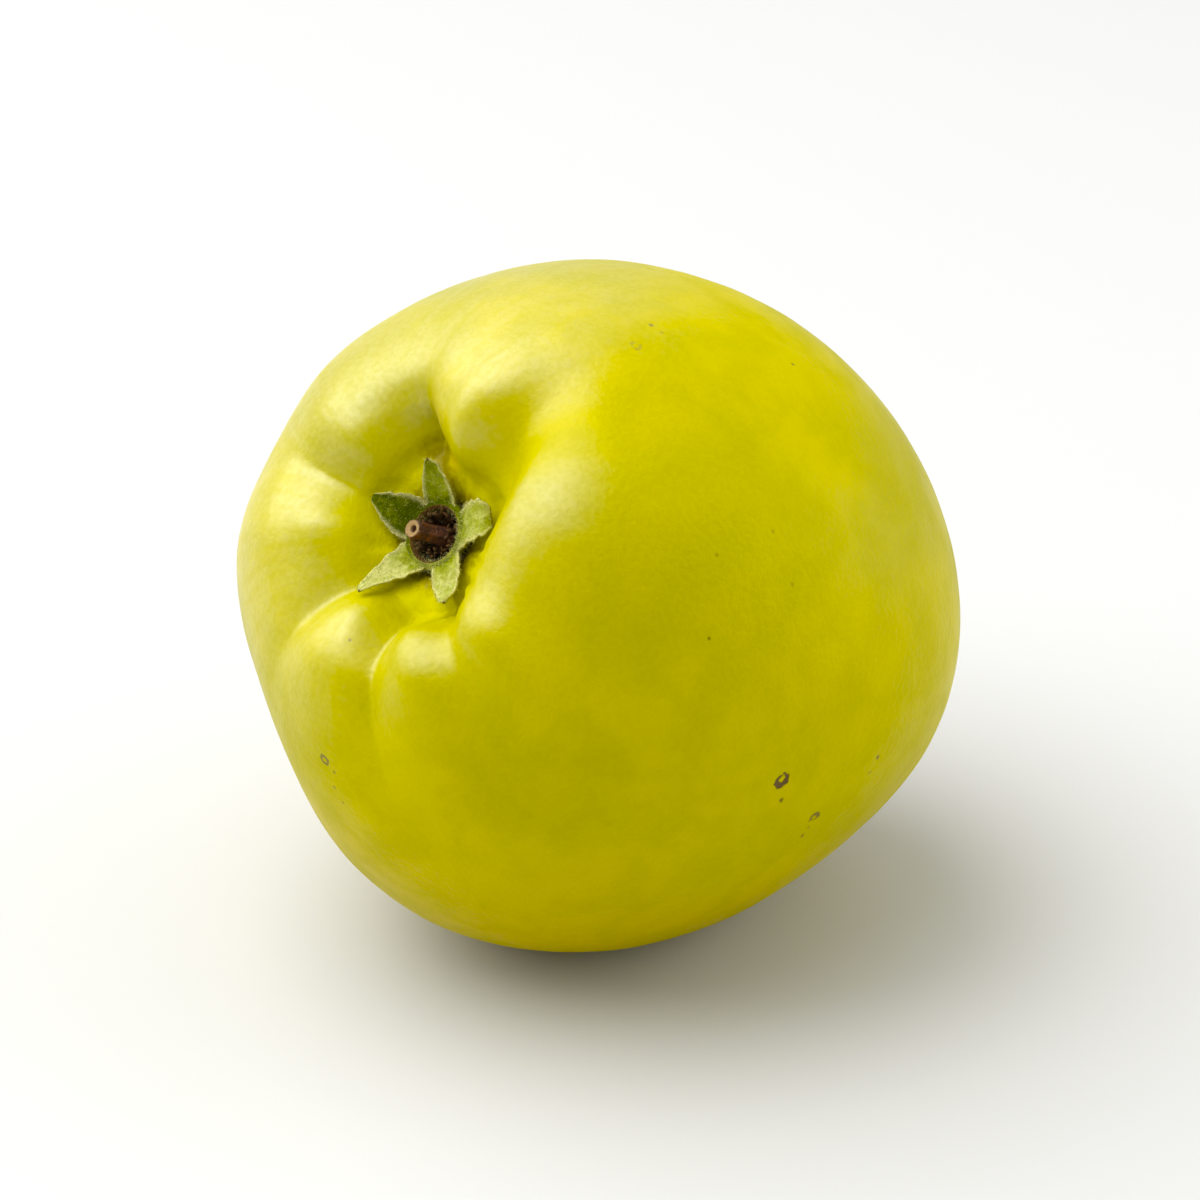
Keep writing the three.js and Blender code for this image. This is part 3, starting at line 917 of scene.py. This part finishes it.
    def build(self) -> Piece:
        """The fruit's mesh, with the masks that its finish reads."""
        form = self.mould.form
        t = np.arange(1, self.rings) / self.rings
        azimuth = np.arange(self.around) * 360 / self.around
        t, azimuth = np.meshgrid(t, azimuth, indexing="ij")
        local = form.points(t, azimuth, self.relief(t, azimuth))
        ends = form.points(np.array([0.0, 1.0]), np.array([0.0, 0.0])) * np.array([0, 0, 1])
        row = self.mould.to_row(np.concatenate([ends[:1], local.reshape(-1, 3), ends[1:]]))
        row[:, 2] = form.rested(row[:, 2])
        end = len(row) - 1
        faces = ring_faces(self.rings - 1, self.around, 1) + fan(0, 1, self.around)
        faces += fan(end, end - self.around, self.around, flipped=True)
        values = {}
        for key, mask in self.masks(local, t, azimuth).items():
            at_eye, at_stem = float(key in ("eye", "dry")), float(key == "russet")
            values[key] = np.concatenate([[at_eye], mask.reshape(-1), [at_stem]])
        return self.mould.cast("quince_skin", row, faces, values)

    def dress(self, piece: Piece) -> None:
        """Gives the fruit its skin and puts it in place of its CAD node."""
        placed = [(Vector(self.mould.to_row(self.centre(dent)) * MM), dent) for dent in self.dents]
        piece.data.materials.append(self.finish.material(self.effects, placed))
        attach(piece, "root")
        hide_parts("fruit")


class TipForm(Enum):
    """How a sepal ends."""

    POINTED = "pointed"
    CURLED = "curled"
    FOLDED = "folded"


@dataclass(frozen=True)
class Sepal:
    """One sepal, in mm. Its path is its midrib, as distances from the axis and heights.

    Its widths are half widths from base to tip, and its tone goes from 0, dark green, to 1, pale: painted
    light, pale on the sepals facing the lamps and dark on those turned away.
    """

    azimuth: float
    drift: float
    path: tuple[tuple[float, float], ...]
    widths: tuple[float, ...]
    cup: float
    tone: float
    tip: TipForm = TipForm.POINTED
    twist: float = 0.0


# Each sepal's tone is painted light: pale for the sepals turned towards the lamps, dark green for those
# turned away.
SEPALS = (
    Sepal(
        19, 0, ((3.4, 31.0), (4.9, 32.2), (6.4, 33.5), (7.6, 34.7), (7.9, 35.6)),
        (2.1, 2.1, 1.6, 0.9, 0.42), 0.18, 0.44, TipForm.CURLED, 8,
    ),
    Sepal(
        84, 1, ((3.4, 31.0), (5.0, 32.3), (6.6, 33.4), (7.9, 34.3), (8.6, 34.5)),
        (2.4, 2.5, 1.8, 0.85, 0.32), 0.24, 0.08, TipForm.CURLED, -6,
    ),
    Sepal(
        156, 11, ((3.4, 31.0), (5.4, 32.4), (7.4, 34.0), (9.0, 35.65), (9.95, 36.5)),
        (2.3, 2.2, 1.45, 0.8, 0.38), 0.15, 0.93, TipForm.POINTED, 10,
    ),
    Sepal(
        -124, -2, ((3.4, 31.0), (5.9, 32.1), (8.2, 33.1), (10.0, 34.1), (11.0, 35.1)),
        (1.9, 2.1, 1.7, 1.1, 0.45), 0.16, 0.80, TipForm.CURLED, -8,
    ),
    Sepal(
        -63, 3, ((3.4, 31.0), (5.2, 32.4), (7.0, 33.5), (8.4, 33.6), (9.2, 32.9)),
        (2.2, 2.5, 2.5, 2.1, 1.2), 0.12, 0.66, TipForm.FOLDED, 0,
    ),
)


@dataclass
class Calyx:
    """The dried calyx: five downy sepals grown out of a short cup on the eye's rim."""

    mould: Mould
    effects: Effects
    sepals: tuple[Sepal, ...] = SEPALS
    radius: float = 3.6
    level: float = 31.2
    wall: float = 0.6
    steps: int = 56
    across: int = 23
    thickness: float = 0.46
    cell: float = 0.085
    cup_points: int = 24
    cup_sides: int = 96
    shaded_side: float = 52.0
    shaded_spread: float = 62.0
    finish: SepalFinish = SepalFinish(
        "downy_sepal", roughness=0.8, specular=0.12, sheen=0.04, sheen_roughness=0.5, subsurface=0.08,
        subsurface_scale=0.0004, bump=0.6, depth=0.00015,
    )

    def blade(self, sepal: Sepal) -> tuple[Array, list, Array]:
        """One sepal as a closed blade with a ragged edge.

        Args:
            sepal: its sizes.

        Returns:
            Its points in the fruit's own frame, its faces, and along, across, outer and tone for each point,
            the tone being partly painted light.
        """
        t = np.linspace(0, 1, self.steps)
        x = np.linspace(-1, 1, self.across)
        path = spline(sepal.path, t)
        azimuth = sepal.azimuth + sepal.drift * t
        middle = outward(azimuth, path[:, 0], path[:, 1])
        forward = unit(np.gradient(middle, axis=0))
        side = outward(azimuth + 90.0, 1.0, 0.0)
        side = unit(side - forward * np.sum(side * forward, -1, keepdims=True))
        inner = np.cross(forward, side)
        angle = np.radians(sepal.twist * t)[:, None]
        side, inner = (side * np.cos(angle) + inner * np.sin(angle),
                       inner * np.cos(angle) - side * np.sin(angle))
        half = spline([(w,) for w in sepal.widths], t)
        t = t[:, None]
        if sepal.tip is not TipForm.FOLDED:
            half = half * (1 - 0.75 * rise(t, 0.86, 1.0))
        seed = sepal.azimuth * 0.37
        left = rough(np.stack([t * 9, 0 * t + seed, 0 * t], -1), 1.0)
        right = rough(np.stack([t * 11, 0 * t + seed + 9, 0 * t], -1), 1.0)
        reach = half * (1 + 0.16 * np.where(x < 0, left, right))
        curl = 0.5 * rise(t, 0.7, 1.0) if sepal.tip is TipForm.CURLED else 0.0
        lift = (sepal.cup + curl) * half * x**2
        lift = lift + 0.09 * rough(np.stack(np.broadcast_arrays(t * 7, x * 2.5, seed), -1), 1.0)
        thin = self.thickness * (1 - 0.5 * x**2) * (1 - 0.35 * rise(t, 0.6, 1.0)) / 2
        upper, lower = (
            middle[:, None] + side[:, None] * (reach * x)[..., None] + inner[:, None] * level[..., None]
            for level in (lift + thin, lift - thin)
        )
        ring = np.concatenate([upper, lower[:, ::-1]], 1)
        count = ring.shape[1]
        faces = ring_faces(self.steps, count)
        start = (self.steps - 1) * count
        for j in range(self.across - 1):
            mirror = count - 1 - j
            faces.append((j, j + 1, mirror - 1, mirror))
            faces.append((start + j, start + mirror, start + mirror - 1, start + j + 1))
        both = np.abs(np.concatenate([x, x[::-1]]))
        outer = np.repeat([0.0, 1.0], self.across)
        values = np.stack(np.broadcast_arrays(t, both, outer, sepal.tone), -1)
        return ring.reshape(-1, 3), faces, values.reshape(-1, 4)

    def cup(self) -> tuple[Array, list, Array]:
        """The cup on the eye's rim, with points, faces and values as a blade has them."""
        inner = self.radius - self.wall
        section = np.array([
            (inner, -1.5), (self.radius - 0.15, -1.55), (self.radius + 0.5, -0.5),
            (self.radius + 0.6, 0.3), (self.radius, 0.55), (inner + 0.15, 0.0), (inner, -1.5),
        ])
        closed = spline(section, np.linspace(0, 1, self.cup_points + 1)[:-1])
        azimuth = np.linspace(0, 360, self.cup_sides + 1)[:-1, None]
        ring = outward(azimuth, closed[:, 0], self.level + closed[:, 1])
        count = self.cup_points
        faces = ring_faces(self.cup_sides, count)
        last = (self.cup_sides - 1) * count
        faces += [(last + j, j, (j + 1) % count, last + (j + 1) % count) for j in range(count)]
        # painted shade: the cup is darker round one side, where it lies in shade
        shaded = 0.6 * hump(azimuth, self.shaded_side, self.shaded_spread)
        dried = np.where(closed[:, 0] < self.radius - 0.05, 1.1, 0.0)
        values = np.stack(np.broadcast_arrays(dried, 0.75 - shaded, 0.0, 0.6 - shaded), -1)
        return ring.reshape(-1, 3), faces, values.reshape(-1, 4)

    def build(self) -> Piece:
        """The calyx as one grown piece, with values for its finish at each point."""
        points, faces, values = [], [], []
        for some_points, some_faces, some_values in [self.cup(), *map(self.blade, self.sepals)]:
            start = sum(map(len, points))
            points.append(some_points)
            values.append(some_values)
            faces += [tuple(i + start for i in face) for face in some_faces]
        points, values = np.concatenate(points), np.concatenate(values)
        rough_piece = self.mould.cast("calyx_rough", self.mould.to_row(points), faces, {})
        fuse = rough_piece.modifiers.new("fuse", "REMESH")
        fuse.mode, fuse.voxel_size, fuse.use_smooth_shade = "VOXEL", self.cell * MM, True
        even = rough_piece.modifiers.new("even", "SMOOTH")
        even.factor, even.iterations = 0.5, 2
        grown = rough_piece.evaluated_get(bpy.context.evaluated_depsgraph_get())
        mesh = bpy.data.meshes.new_from_object(grown)
        tree = KDTree(len(points))
        for i, point in enumerate(self.mould.to_row(points) * MM):
            tree.insert(point, i)
        tree.balance()
        nearest = values[[tree.find(v.co)[1] for v in mesh.vertices]]
        for column, key in enumerate(("along", "across", "outer", "tone")):
            mesh.attributes.new(key, "FLOAT", "POINT").data.foreach_set("value", nearest[:, column].copy())
        bpy.data.objects.remove(rough_piece)
        mesh.name = "calyx_sepals"
        piece = bpy.data.objects.new("calyx_sepals", mesh)
        bpy.context.scene.collection.objects.link(piece)
        return piece

    def dress(self, piece: Piece) -> None:
        """Gives the calyx its finish and puts it in place of its CAD node."""
        piece.data.materials.clear()
        piece.data.materials.append(self.finish.material(self.effects))
        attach(piece, "root")
        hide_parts("calyx")


@dataclass
class Tubes:
    """Gathers tapered round stalks into one mesh. Its helper is a direction that no stalk follows."""

    points: list[Array] = field(default_factory=list)
    faces: list[tuple[int, ...]] = field(default_factory=list)
    values: list[Array] = field(default_factory=list)
    helper: tuple[float, float, float] = (0.31, 0.83, 0.47)

    def stalk(self, line: Array, radii: Array, sides: int) -> None:
        """Adds one stalk.

        Args:
            line: its middle line's points.
            radii: its radius at each of them.
            sides: how many sides it has.
        """
        forward = unit(np.gradient(line, axis=0))
        first = unit(np.cross(forward, self.helper))
        second = np.cross(forward, first)
        turn = (np.arange(sides) * 2 * math.pi / sides)[:, None]
        ring = first[:, None] * np.cos(turn) + second[:, None] * np.sin(turn)
        rings = line[:, None] + ring * radii[:, None, None]
        start = sum(map(len, self.points))
        self.points.append(np.concatenate([rings.reshape(-1, 3), line[:1], line[-1:]]))
        end = start + len(line) * sides
        self.faces += ring_faces(len(line), sides, start)
        self.faces += fan(end, start, sides) + fan(end + 1, end - sides, sides, flipped=True)
        along = np.linspace(0, 1, len(line))
        self.values.append(np.concatenate([np.repeat(along, sides), [0.0, 1.0]]))


@dataclass
class Stamens:
    """The dried stamens: shrivelled stalks and anthers crowded on a disc on the eye's floor.

    The disc is given as radii and heights, and the ring gap keeps its rings apart.
    """

    mould: Mould
    effects: Effects
    floor: float = 28.3
    gap: float = 0.3
    count: int = 34
    seed: int = 11
    disc: tuple[tuple[float, float], ...] = (
        (0.02, 0), (1.6, 0), (2.25, 0.05), (2.38, 0.4), (2.2, 0.72), (1.2, 0.66), (0.02, 0.6),
    )
    ring_gap: float = 1e-4
    lengths: tuple[float, float] = (1.7, 3.2)
    leans: tuple[float, float] = (0.26, 0.40)
    feet: tuple[float, float] = (1.45, 1.95)
    steps: int = 9
    finish: DriedFinish = DriedFinish(
        "dried_stamen", roughness=0.9, specular=0.15, dark=(0.014, 0.007, 0.003), light=(0.070, 0.036, 0.014),
        cut=(0.20, 0.12, 0.06), grain=900.0, depth=0.0001,
    )

    def build(self) -> Piece:
        """The stamens on their disc, as one piece."""
        rng = np.random.default_rng(self.seed)
        tubes = Tubes()
        base = self.floor + self.gap
        radii, levels = np.array(self.disc).T
        tubes.stalk(outward(0.0, 0.0, base + levels + self.ring_gap * np.arange(len(radii))), radii, 48)
        for i in range(self.count):
            turn = (i + rng.uniform(-0.3, 0.3)) * 360 / self.count
            away, side = outward(turn, 1.0, 0.0), outward(turn + 90.0, 1.0, 0.0)
            length, lean = rng.uniform(*self.lengths), rng.uniform(*self.leans)
            t = np.linspace(0, 1, self.steps)[:, None]
            start = away * rng.uniform(*self.feet) + np.array([0, 0, base + 0.3])
            line = start + away * (length * lean * t) + np.array([0, 0, length]) * t
            line = line + side * (rng.uniform(-1.5, 1.5) * t**2) - away * (rng.uniform(0.0, 1.0) * t**3)
            radii = np.linspace(0.16, 0.10, self.steps)
            radii[-4:] = rng.uniform(0.14, 0.27) * np.array([0.7, 1.1, 0.9, 0.4])
            shrunk = (1 + 0.25 * rng.standard_normal(self.steps)).clip(0.6, 1.4)
            tubes.stalk(line, radii * shrunk, 8)
        row = self.mould.to_row(np.concatenate(tubes.points))
        cut = rise(np.concatenate(tubes.values), 0.8, 1.0) * 0.5
        return self.mould.cast("dried_stamens", row, tubes.faces, {"cut": cut})

    def dress(self, piece: Piece) -> None:
        """Gives the stamens their finish and puts them in place of their CAD node."""
        piece.data.materials.append(self.finish.material(self.effects))
        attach(piece, "root")
        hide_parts("stamens")


@dataclass
class Style:
    """The thick dried style stub, cut off and hollow at its end, leaning over the eye."""

    mould: Mould
    effects: Effects
    base: float = 29.6
    radius: float = 1.1
    length: float = 4.6
    hollow: float = 0.45
    lean: float = 1.6
    heading: float = 117.0
    foot: tuple[float, float] = (0.2, -0.3)
    rings: int = 90
    around: int = 60
    finish: DriedFinish = DriedFinish(
        "dried_style", roughness=0.62, specular=0.4, dark=(0.034, 0.014, 0.008), light=(0.15, 0.055, 0.028),
        cut=(0.36, 0.24, 0.11), grain=620.0, depth=0.00022,
    )

    def build(self) -> Piece:
        """The style's wrinkled tube, with its cut end marked."""
        r, h = self.radius, self.length
        section = [
            (0.02, 0), (0.92 * r, 0), (0.97 * r, 0.15 * h), (0.94 * r, 0.4 * h), (0.88 * r, 0.65 * h),
            (0.97 * r, 0.88 * h), (r, 0.96 * h), (0.92 * r, h), (0.7 * r, h),
            (self.hollow, 0.97 * h), (self.hollow * 0.8, 0.86 * h), (0.02, 0.8 * h),
        ]
        t = np.linspace(0, 1, self.rings)
        profile = spline(section, t)
        turn = np.arange(self.around) * 360 / self.around
        angle = np.radians(turn)
        wall, height = profile[:, :1], profile[:, 1:]
        ridges = 1 + 0.07 * np.cos(5 * angle + 0.5 * height) + 0.025 * np.cos(13 * angle + 1.1)
        radius = wall * np.where(t[:, None] < 0.62, ridges, 1 + 0.02 * np.cos(5 * angle))
        rest = np.clip(height / h, 0, 1) ** 1.3
        points = outward(turn, radius, self.base + height) + np.array((*self.foot, 0.0))
        points = points + outward(self.heading, self.lean * rest, 0.0)
        cut = np.repeat(band(t, 0.60, 0.70, 0.80, 0.88), self.around)
        faces = ring_faces(len(t), self.around)
        return self.mould.cast("dried_style", self.mould.to_row(points), faces, {"cut": cut})

    def dress(self, piece: Piece) -> None:
        """Gives the style its finish and puts it in place of its CAD node."""
        piece.data.materials.append(self.finish.material(self.effects))
        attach(piece, "root")
        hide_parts("style")


@dataclass
class Stem:
    """The short woody stem stub in the hollow of the stem end, broken off unevenly."""

    mould: Mould
    effects: Effects
    radius: float = 1.7
    length: float = 4.3
    hollow: float = 3.6
    gap: float = 0.3
    rings: int = 64
    around: int = 72
    flare: tuple[float, ...] = (1.12, 1.02, 0.94, 0.92, 1.0, 1.06, 0.8)
    levels: tuple[float, ...] = (0, 0.12, 0.35, 0.6, 0.82, 0.96, 1.0)
    cap: tuple[float, ...] = (0.8, 0.55, 0.3, 0.02)
    finish: DriedFinish = DriedFinish(
        "stem_bark", roughness=0.85, specular=0.3, dark=(0.10, 0.055, 0.03), light=(0.30, 0.19, 0.11),
        cut=(0.50, 0.36, 0.22), grain=380.0, depth=0.0003,
    )

    def build(self) -> Piece:
        """The stub's ridged bark and its ragged broken end."""
        form = self.mould.form
        t = np.linspace(0, 1, self.rings)
        level, flare = (spline([(v,) for v in values], t) for values in (self.levels, self.flare))
        turn = np.arange(self.around) * 360 / self.around
        angle = np.radians(turn)[None]
        bark = 1 + 0.05 * np.cos(5 * angle + 0.7) + 0.03 * np.cos(11 * angle + 2.0 * level)
        radius = self.radius * flare * bark
        foot = form.points(1 - radius / (self.hollow * form.stations), turn + 0 * radius)[..., 2]
        foot = foot - self.gap * 0.4
        end = form.points(np.array(1.0), np.array(0.0))[2] - self.gap - self.length
        height = foot + (end - foot) * level
        bend = np.stack([0.5 * level**2, -0.3 * level, 0 * level], -1)
        points = outward(turn, radius, height) + bend
        points[..., 2] += 0.16 * rough(points, 0.7) * rise(t, 0.8, 1.0)[:, None]
        rim = points[-1]
        cap = np.stack([rim.mean(0) + (rim - rim.mean(0)) * s for s in self.cap])
        cap[..., 2] += 0.35 + 0.22 * rough(cap, 0.55, 4.0)
        points = np.concatenate([points, cap])
        cut = np.repeat(np.concatenate([rise(t, 0.93, 1.0), np.ones(len(cap))]), self.around)
        faces = [tuple(reversed(face)) for face in ring_faces(len(points), self.around)]
        return self.mould.cast("stem_stub", self.mould.to_row(points), faces, {"cut": cut})

    def dress(self, piece: Piece) -> None:
        """Gives the stem its bark and puts it in place of its CAD node."""
        piece.data.materials.append(self.finish.material(self.effects))
        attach(piece, "root")
        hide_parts("stem")


@dataclass
class Down:
    """The fine pale hairs on the sepals and in the eye, each a thin tapered stalk."""

    mould: Mould
    effects: Effects
    sepal_hairs: int = 5200
    eye_hairs: int = 420
    sepal_lengths: tuple[float, float] = (0.15, 0.38)
    eye_lengths: tuple[float, float] = (0.3, 0.8)
    radii: tuple[float, ...] = (0.022, 0.016, 0.004)
    eye_middle: tuple[float, float, float] = (0.0, 0.0, 31.5)
    seed: int = 23
    finish: DownFinish = DownFinish("pale_down", roughness=0.9, specular=0.2, bump=0.1, depth=0.00002)

    def build(self, calyx: Piece) -> Piece:
        """The hairs, rooted on the sepals and on the eye's wall.

        Args:
            calyx: the finished calyx.

        Returns:
            The hairs as one piece.
        """
        rng = np.random.default_rng(self.seed)
        tubes = Tubes()
        count = len(calyx.data.vertices)
        places, normals = np.empty(count * 3), np.empty(count * 3)
        calyx.data.vertices.foreach_get("co", places)
        calyx.data.vertices.foreach_get("normal", normals)
        places, normals = places.reshape(-1, 3) / MM, normals.reshape(-1, 3)
        across = np.empty(count)
        calyx.data.attributes["across"].data.foreach_get("value", across)
        weight = 0.35 + rise(across, 0.6, 1.0)
        for i in rng.choice(count, self.sepal_hairs, replace=False, p=weight / weight.sum()):
            self.hair(tubes, rng, places[i], normals[i], rng.uniform(*self.sepal_lengths))
        form = self.mould.form
        t = rng.uniform(1.0, 2.3, self.eye_hairs) / form.stations
        azimuth = rng.uniform(-180, 180, self.eye_hairs)
        local = form.points(t, azimuth)
        inward = unit(form.turned(np.array(self.eye_middle) - local))
        for root, way in zip(self.mould.to_row(local), inward):
            self.hair(tubes, rng, root, way, rng.uniform(*self.eye_lengths))
        along = np.concatenate(tubes.values)
        return self.mould.cast("sepal_down", np.concatenate(tubes.points), tubes.faces, {"along": along})

    def hair(
        self, tubes: Tubes, rng: np.random.Generator, root: Array, normal: Array, length: float
    ) -> None:
        """Adds one bent hair.

        Args:
            tubes: what gathers the hairs.
            rng: the seeded source of its bend.
            root: where it grows, in mm.
            normal: the surface's normal there.
            length: its length in mm.
        """
        lean = rng.standard_normal(3) * 0.45
        t = np.linspace(0, 1, len(self.radii))[:, None]
        line = root - normal * 0.03 + (normal * t + lean * t**2) * length
        tubes.stalk(line, np.array(self.radii), 3)

    def dress(self, piece: Piece) -> None:
        """Gives the hairs their finish and lets them ride with the fruit."""
        piece.data.materials.append(self.finish.material(self.effects))
        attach(piece, "root")


@dataclass(frozen=True)
class Lamp:
    """A round soft lamp: how far right, up and towards the camera of the fruit it stands, in metres."""

    name: str
    right: float
    up: float
    near: float
    size: float
    power: float


@dataclass
class Studio:
    """The pale floor, the soft lights and the camera at the photo's angle."""

    azimuth: float = 46.7
    elevation: float = 28.0
    target: tuple[float, float, float] = (0.0, 0.0, 0.0415)
    distance: float = 0.7
    lens: float = 177.0
    sky: float = 0.80
    front_sky: float = 0.39
    saturation: float = 1.15
    floor_reach: float = 8.0
    lamps: tuple[Lamp, ...] = (
        Lamp("key", -0.52, 0.66, 0.19, 1.36, 9.8),
        Lamp("top_front", -0.26, 0.59, 0.58, 0.77, 3.0),
        Lamp("right_fill", 0.55, 0.12, 0.05, 0.60, 1.4),
    )

    def axes(self) -> tuple[Vector, Vector, Vector]:
        """The camera's right, up and back directions."""
        a, e = math.radians(self.azimuth), math.radians(self.elevation)
        back = Vector((math.sin(a) * math.cos(e), -math.cos(a) * math.cos(e), math.sin(e)))
        right = Vector((math.cos(a), math.sin(a), 0.0))
        return right, back.cross(right), back

    def floor(self) -> Piece:
        """The plain pale floor."""
        mesh = bpy.data.meshes.new("floor")
        side = self.floor_reach
        corners = [(-side, -side, 0), (side, -side, 0), (side, side, 0), (-side, side, 0)]
        mesh.from_pydata(corners, [], [(0, 1, 2, 3)])
        piece = bpy.data.objects.new("floor", mesh)
        bpy.context.scene.collection.objects.link(piece)
        material = bpy.data.materials.new("pale_floor")
        material.use_nodes = True
        shader = material.node_tree.nodes["Principled BSDF"]
        shader.inputs["Base Color"].default_value = (0.62, 0.62, 0.615, 1.0)
        shader.inputs["Roughness"].default_value = 0.9
        shader.inputs["Specular IOR Level"].default_value = 0.1
        mesh.materials.append(material)
        return piece

    def light(self) -> None:
        """The white surround and the soft lamps."""
        world = bpy.data.worlds.new("white_surround")
        bpy.context.scene.world = world
        world.use_nodes = True
        background = world.node_tree.nodes["Background"]
        background.inputs["Color"].default_value = (1.0, 1.0, 1.0, 1.0)
        right, up, back = self.axes()
        sheet = Sheet(world.node_tree)
        seen = sheet.add("TexCoord").outputs["Generated"]
        facing = sheet.add("VectorMath", {0: seen, 1: tuple(back)}, operation="DOT_PRODUCT").outputs["Value"]
        front = sheet.times(sheet.ramp(facing, 0.2, 0.9), self.front_sky - self.sky)
        sheet.tree.links.new(sheet.plus(front, self.sky), background.inputs["Strength"])
        target = Vector(self.target)
        for lamp in self.lamps:
            light = bpy.data.lights.new(lamp.name, "AREA")
            light.shape, light.size, light.energy = "DISK", lamp.size, lamp.power
            holder = bpy.data.objects.new(lamp.name, light)
            holder.location = target + right * lamp.right + up * lamp.up + back * lamp.near
            holder.rotation_mode = "QUATERNION"
            holder.rotation_quaternion = (holder.location - target).to_track_quat("Z", "Y")
            bpy.context.scene.collection.objects.link(holder)

    def camera(self) -> None:
        """The camera at the photo's viewing angle."""
        right, up, back = self.axes()
        lens = bpy.data.cameras.new("camera")
        lens.lens, lens.sensor_width = self.lens, 36.0
        holder = bpy.data.objects.new("camera", lens)
        turn = Matrix((right, up, back)).transposed().to_4x4()
        holder.matrix_world = Matrix.Translation(Vector(self.target) + back * self.distance) @ turn
        bpy.context.scene.collection.objects.link(holder)
        bpy.context.scene.camera = holder
        bpy.context.scene.view_settings.view_transform = "Standard"

    def grade(self) -> None:
        """Raises the picture's saturation a little, as the photo's own processing did."""
        scene = bpy.context.scene
        scene.use_nodes = True
        nodes, links = scene.node_tree.nodes, scene.node_tree.links
        nodes.clear()
        layers = nodes.new("CompositorNodeRLayers")
        richer = nodes.new("CompositorNodeHueSat")
        richer.inputs["Saturation"].default_value = self.saturation
        picture = nodes.new("CompositorNodeComposite")
        links.new(layers.outputs["Image"], richer.inputs["Image"])
        links.new(richer.outputs["Image"], picture.inputs["Image"])


def make(maker: Fruit | Calyx | Stamens | Style | Stem | Down, *given: Piece) -> Piece:
    """Builds and dresses one piece and reports it.

    Args:
        maker: what makes it.
        given: the finished pieces that it grows on.

    Returns:
        The piece.
    """
    piece = maker.build(*given)
    maker.dress(piece)
    LOG.info("%s: %d faces", piece.name, len(piece.data.polygons))
    return piece


def main() -> None:
    """Builds and dresses every piece, logs each piece's face count, and sets the studio."""
    logging.basicConfig(level=logging.INFO, format="%(name)s %(message)s")
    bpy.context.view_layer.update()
    mould = Mould(SkinForm())
    effects = Effects()
    for kind in (Fruit, Stamens, Style, Stem):
        make(kind(mould, effects))
    sepals = make(Calyx(mould, effects))
    make(Down(mould, effects), sepals)
    studio = Studio()
    studio.floor()
    studio.light()
    studio.camera()
    studio.grade()


if __name__ == "__main__":
    main()
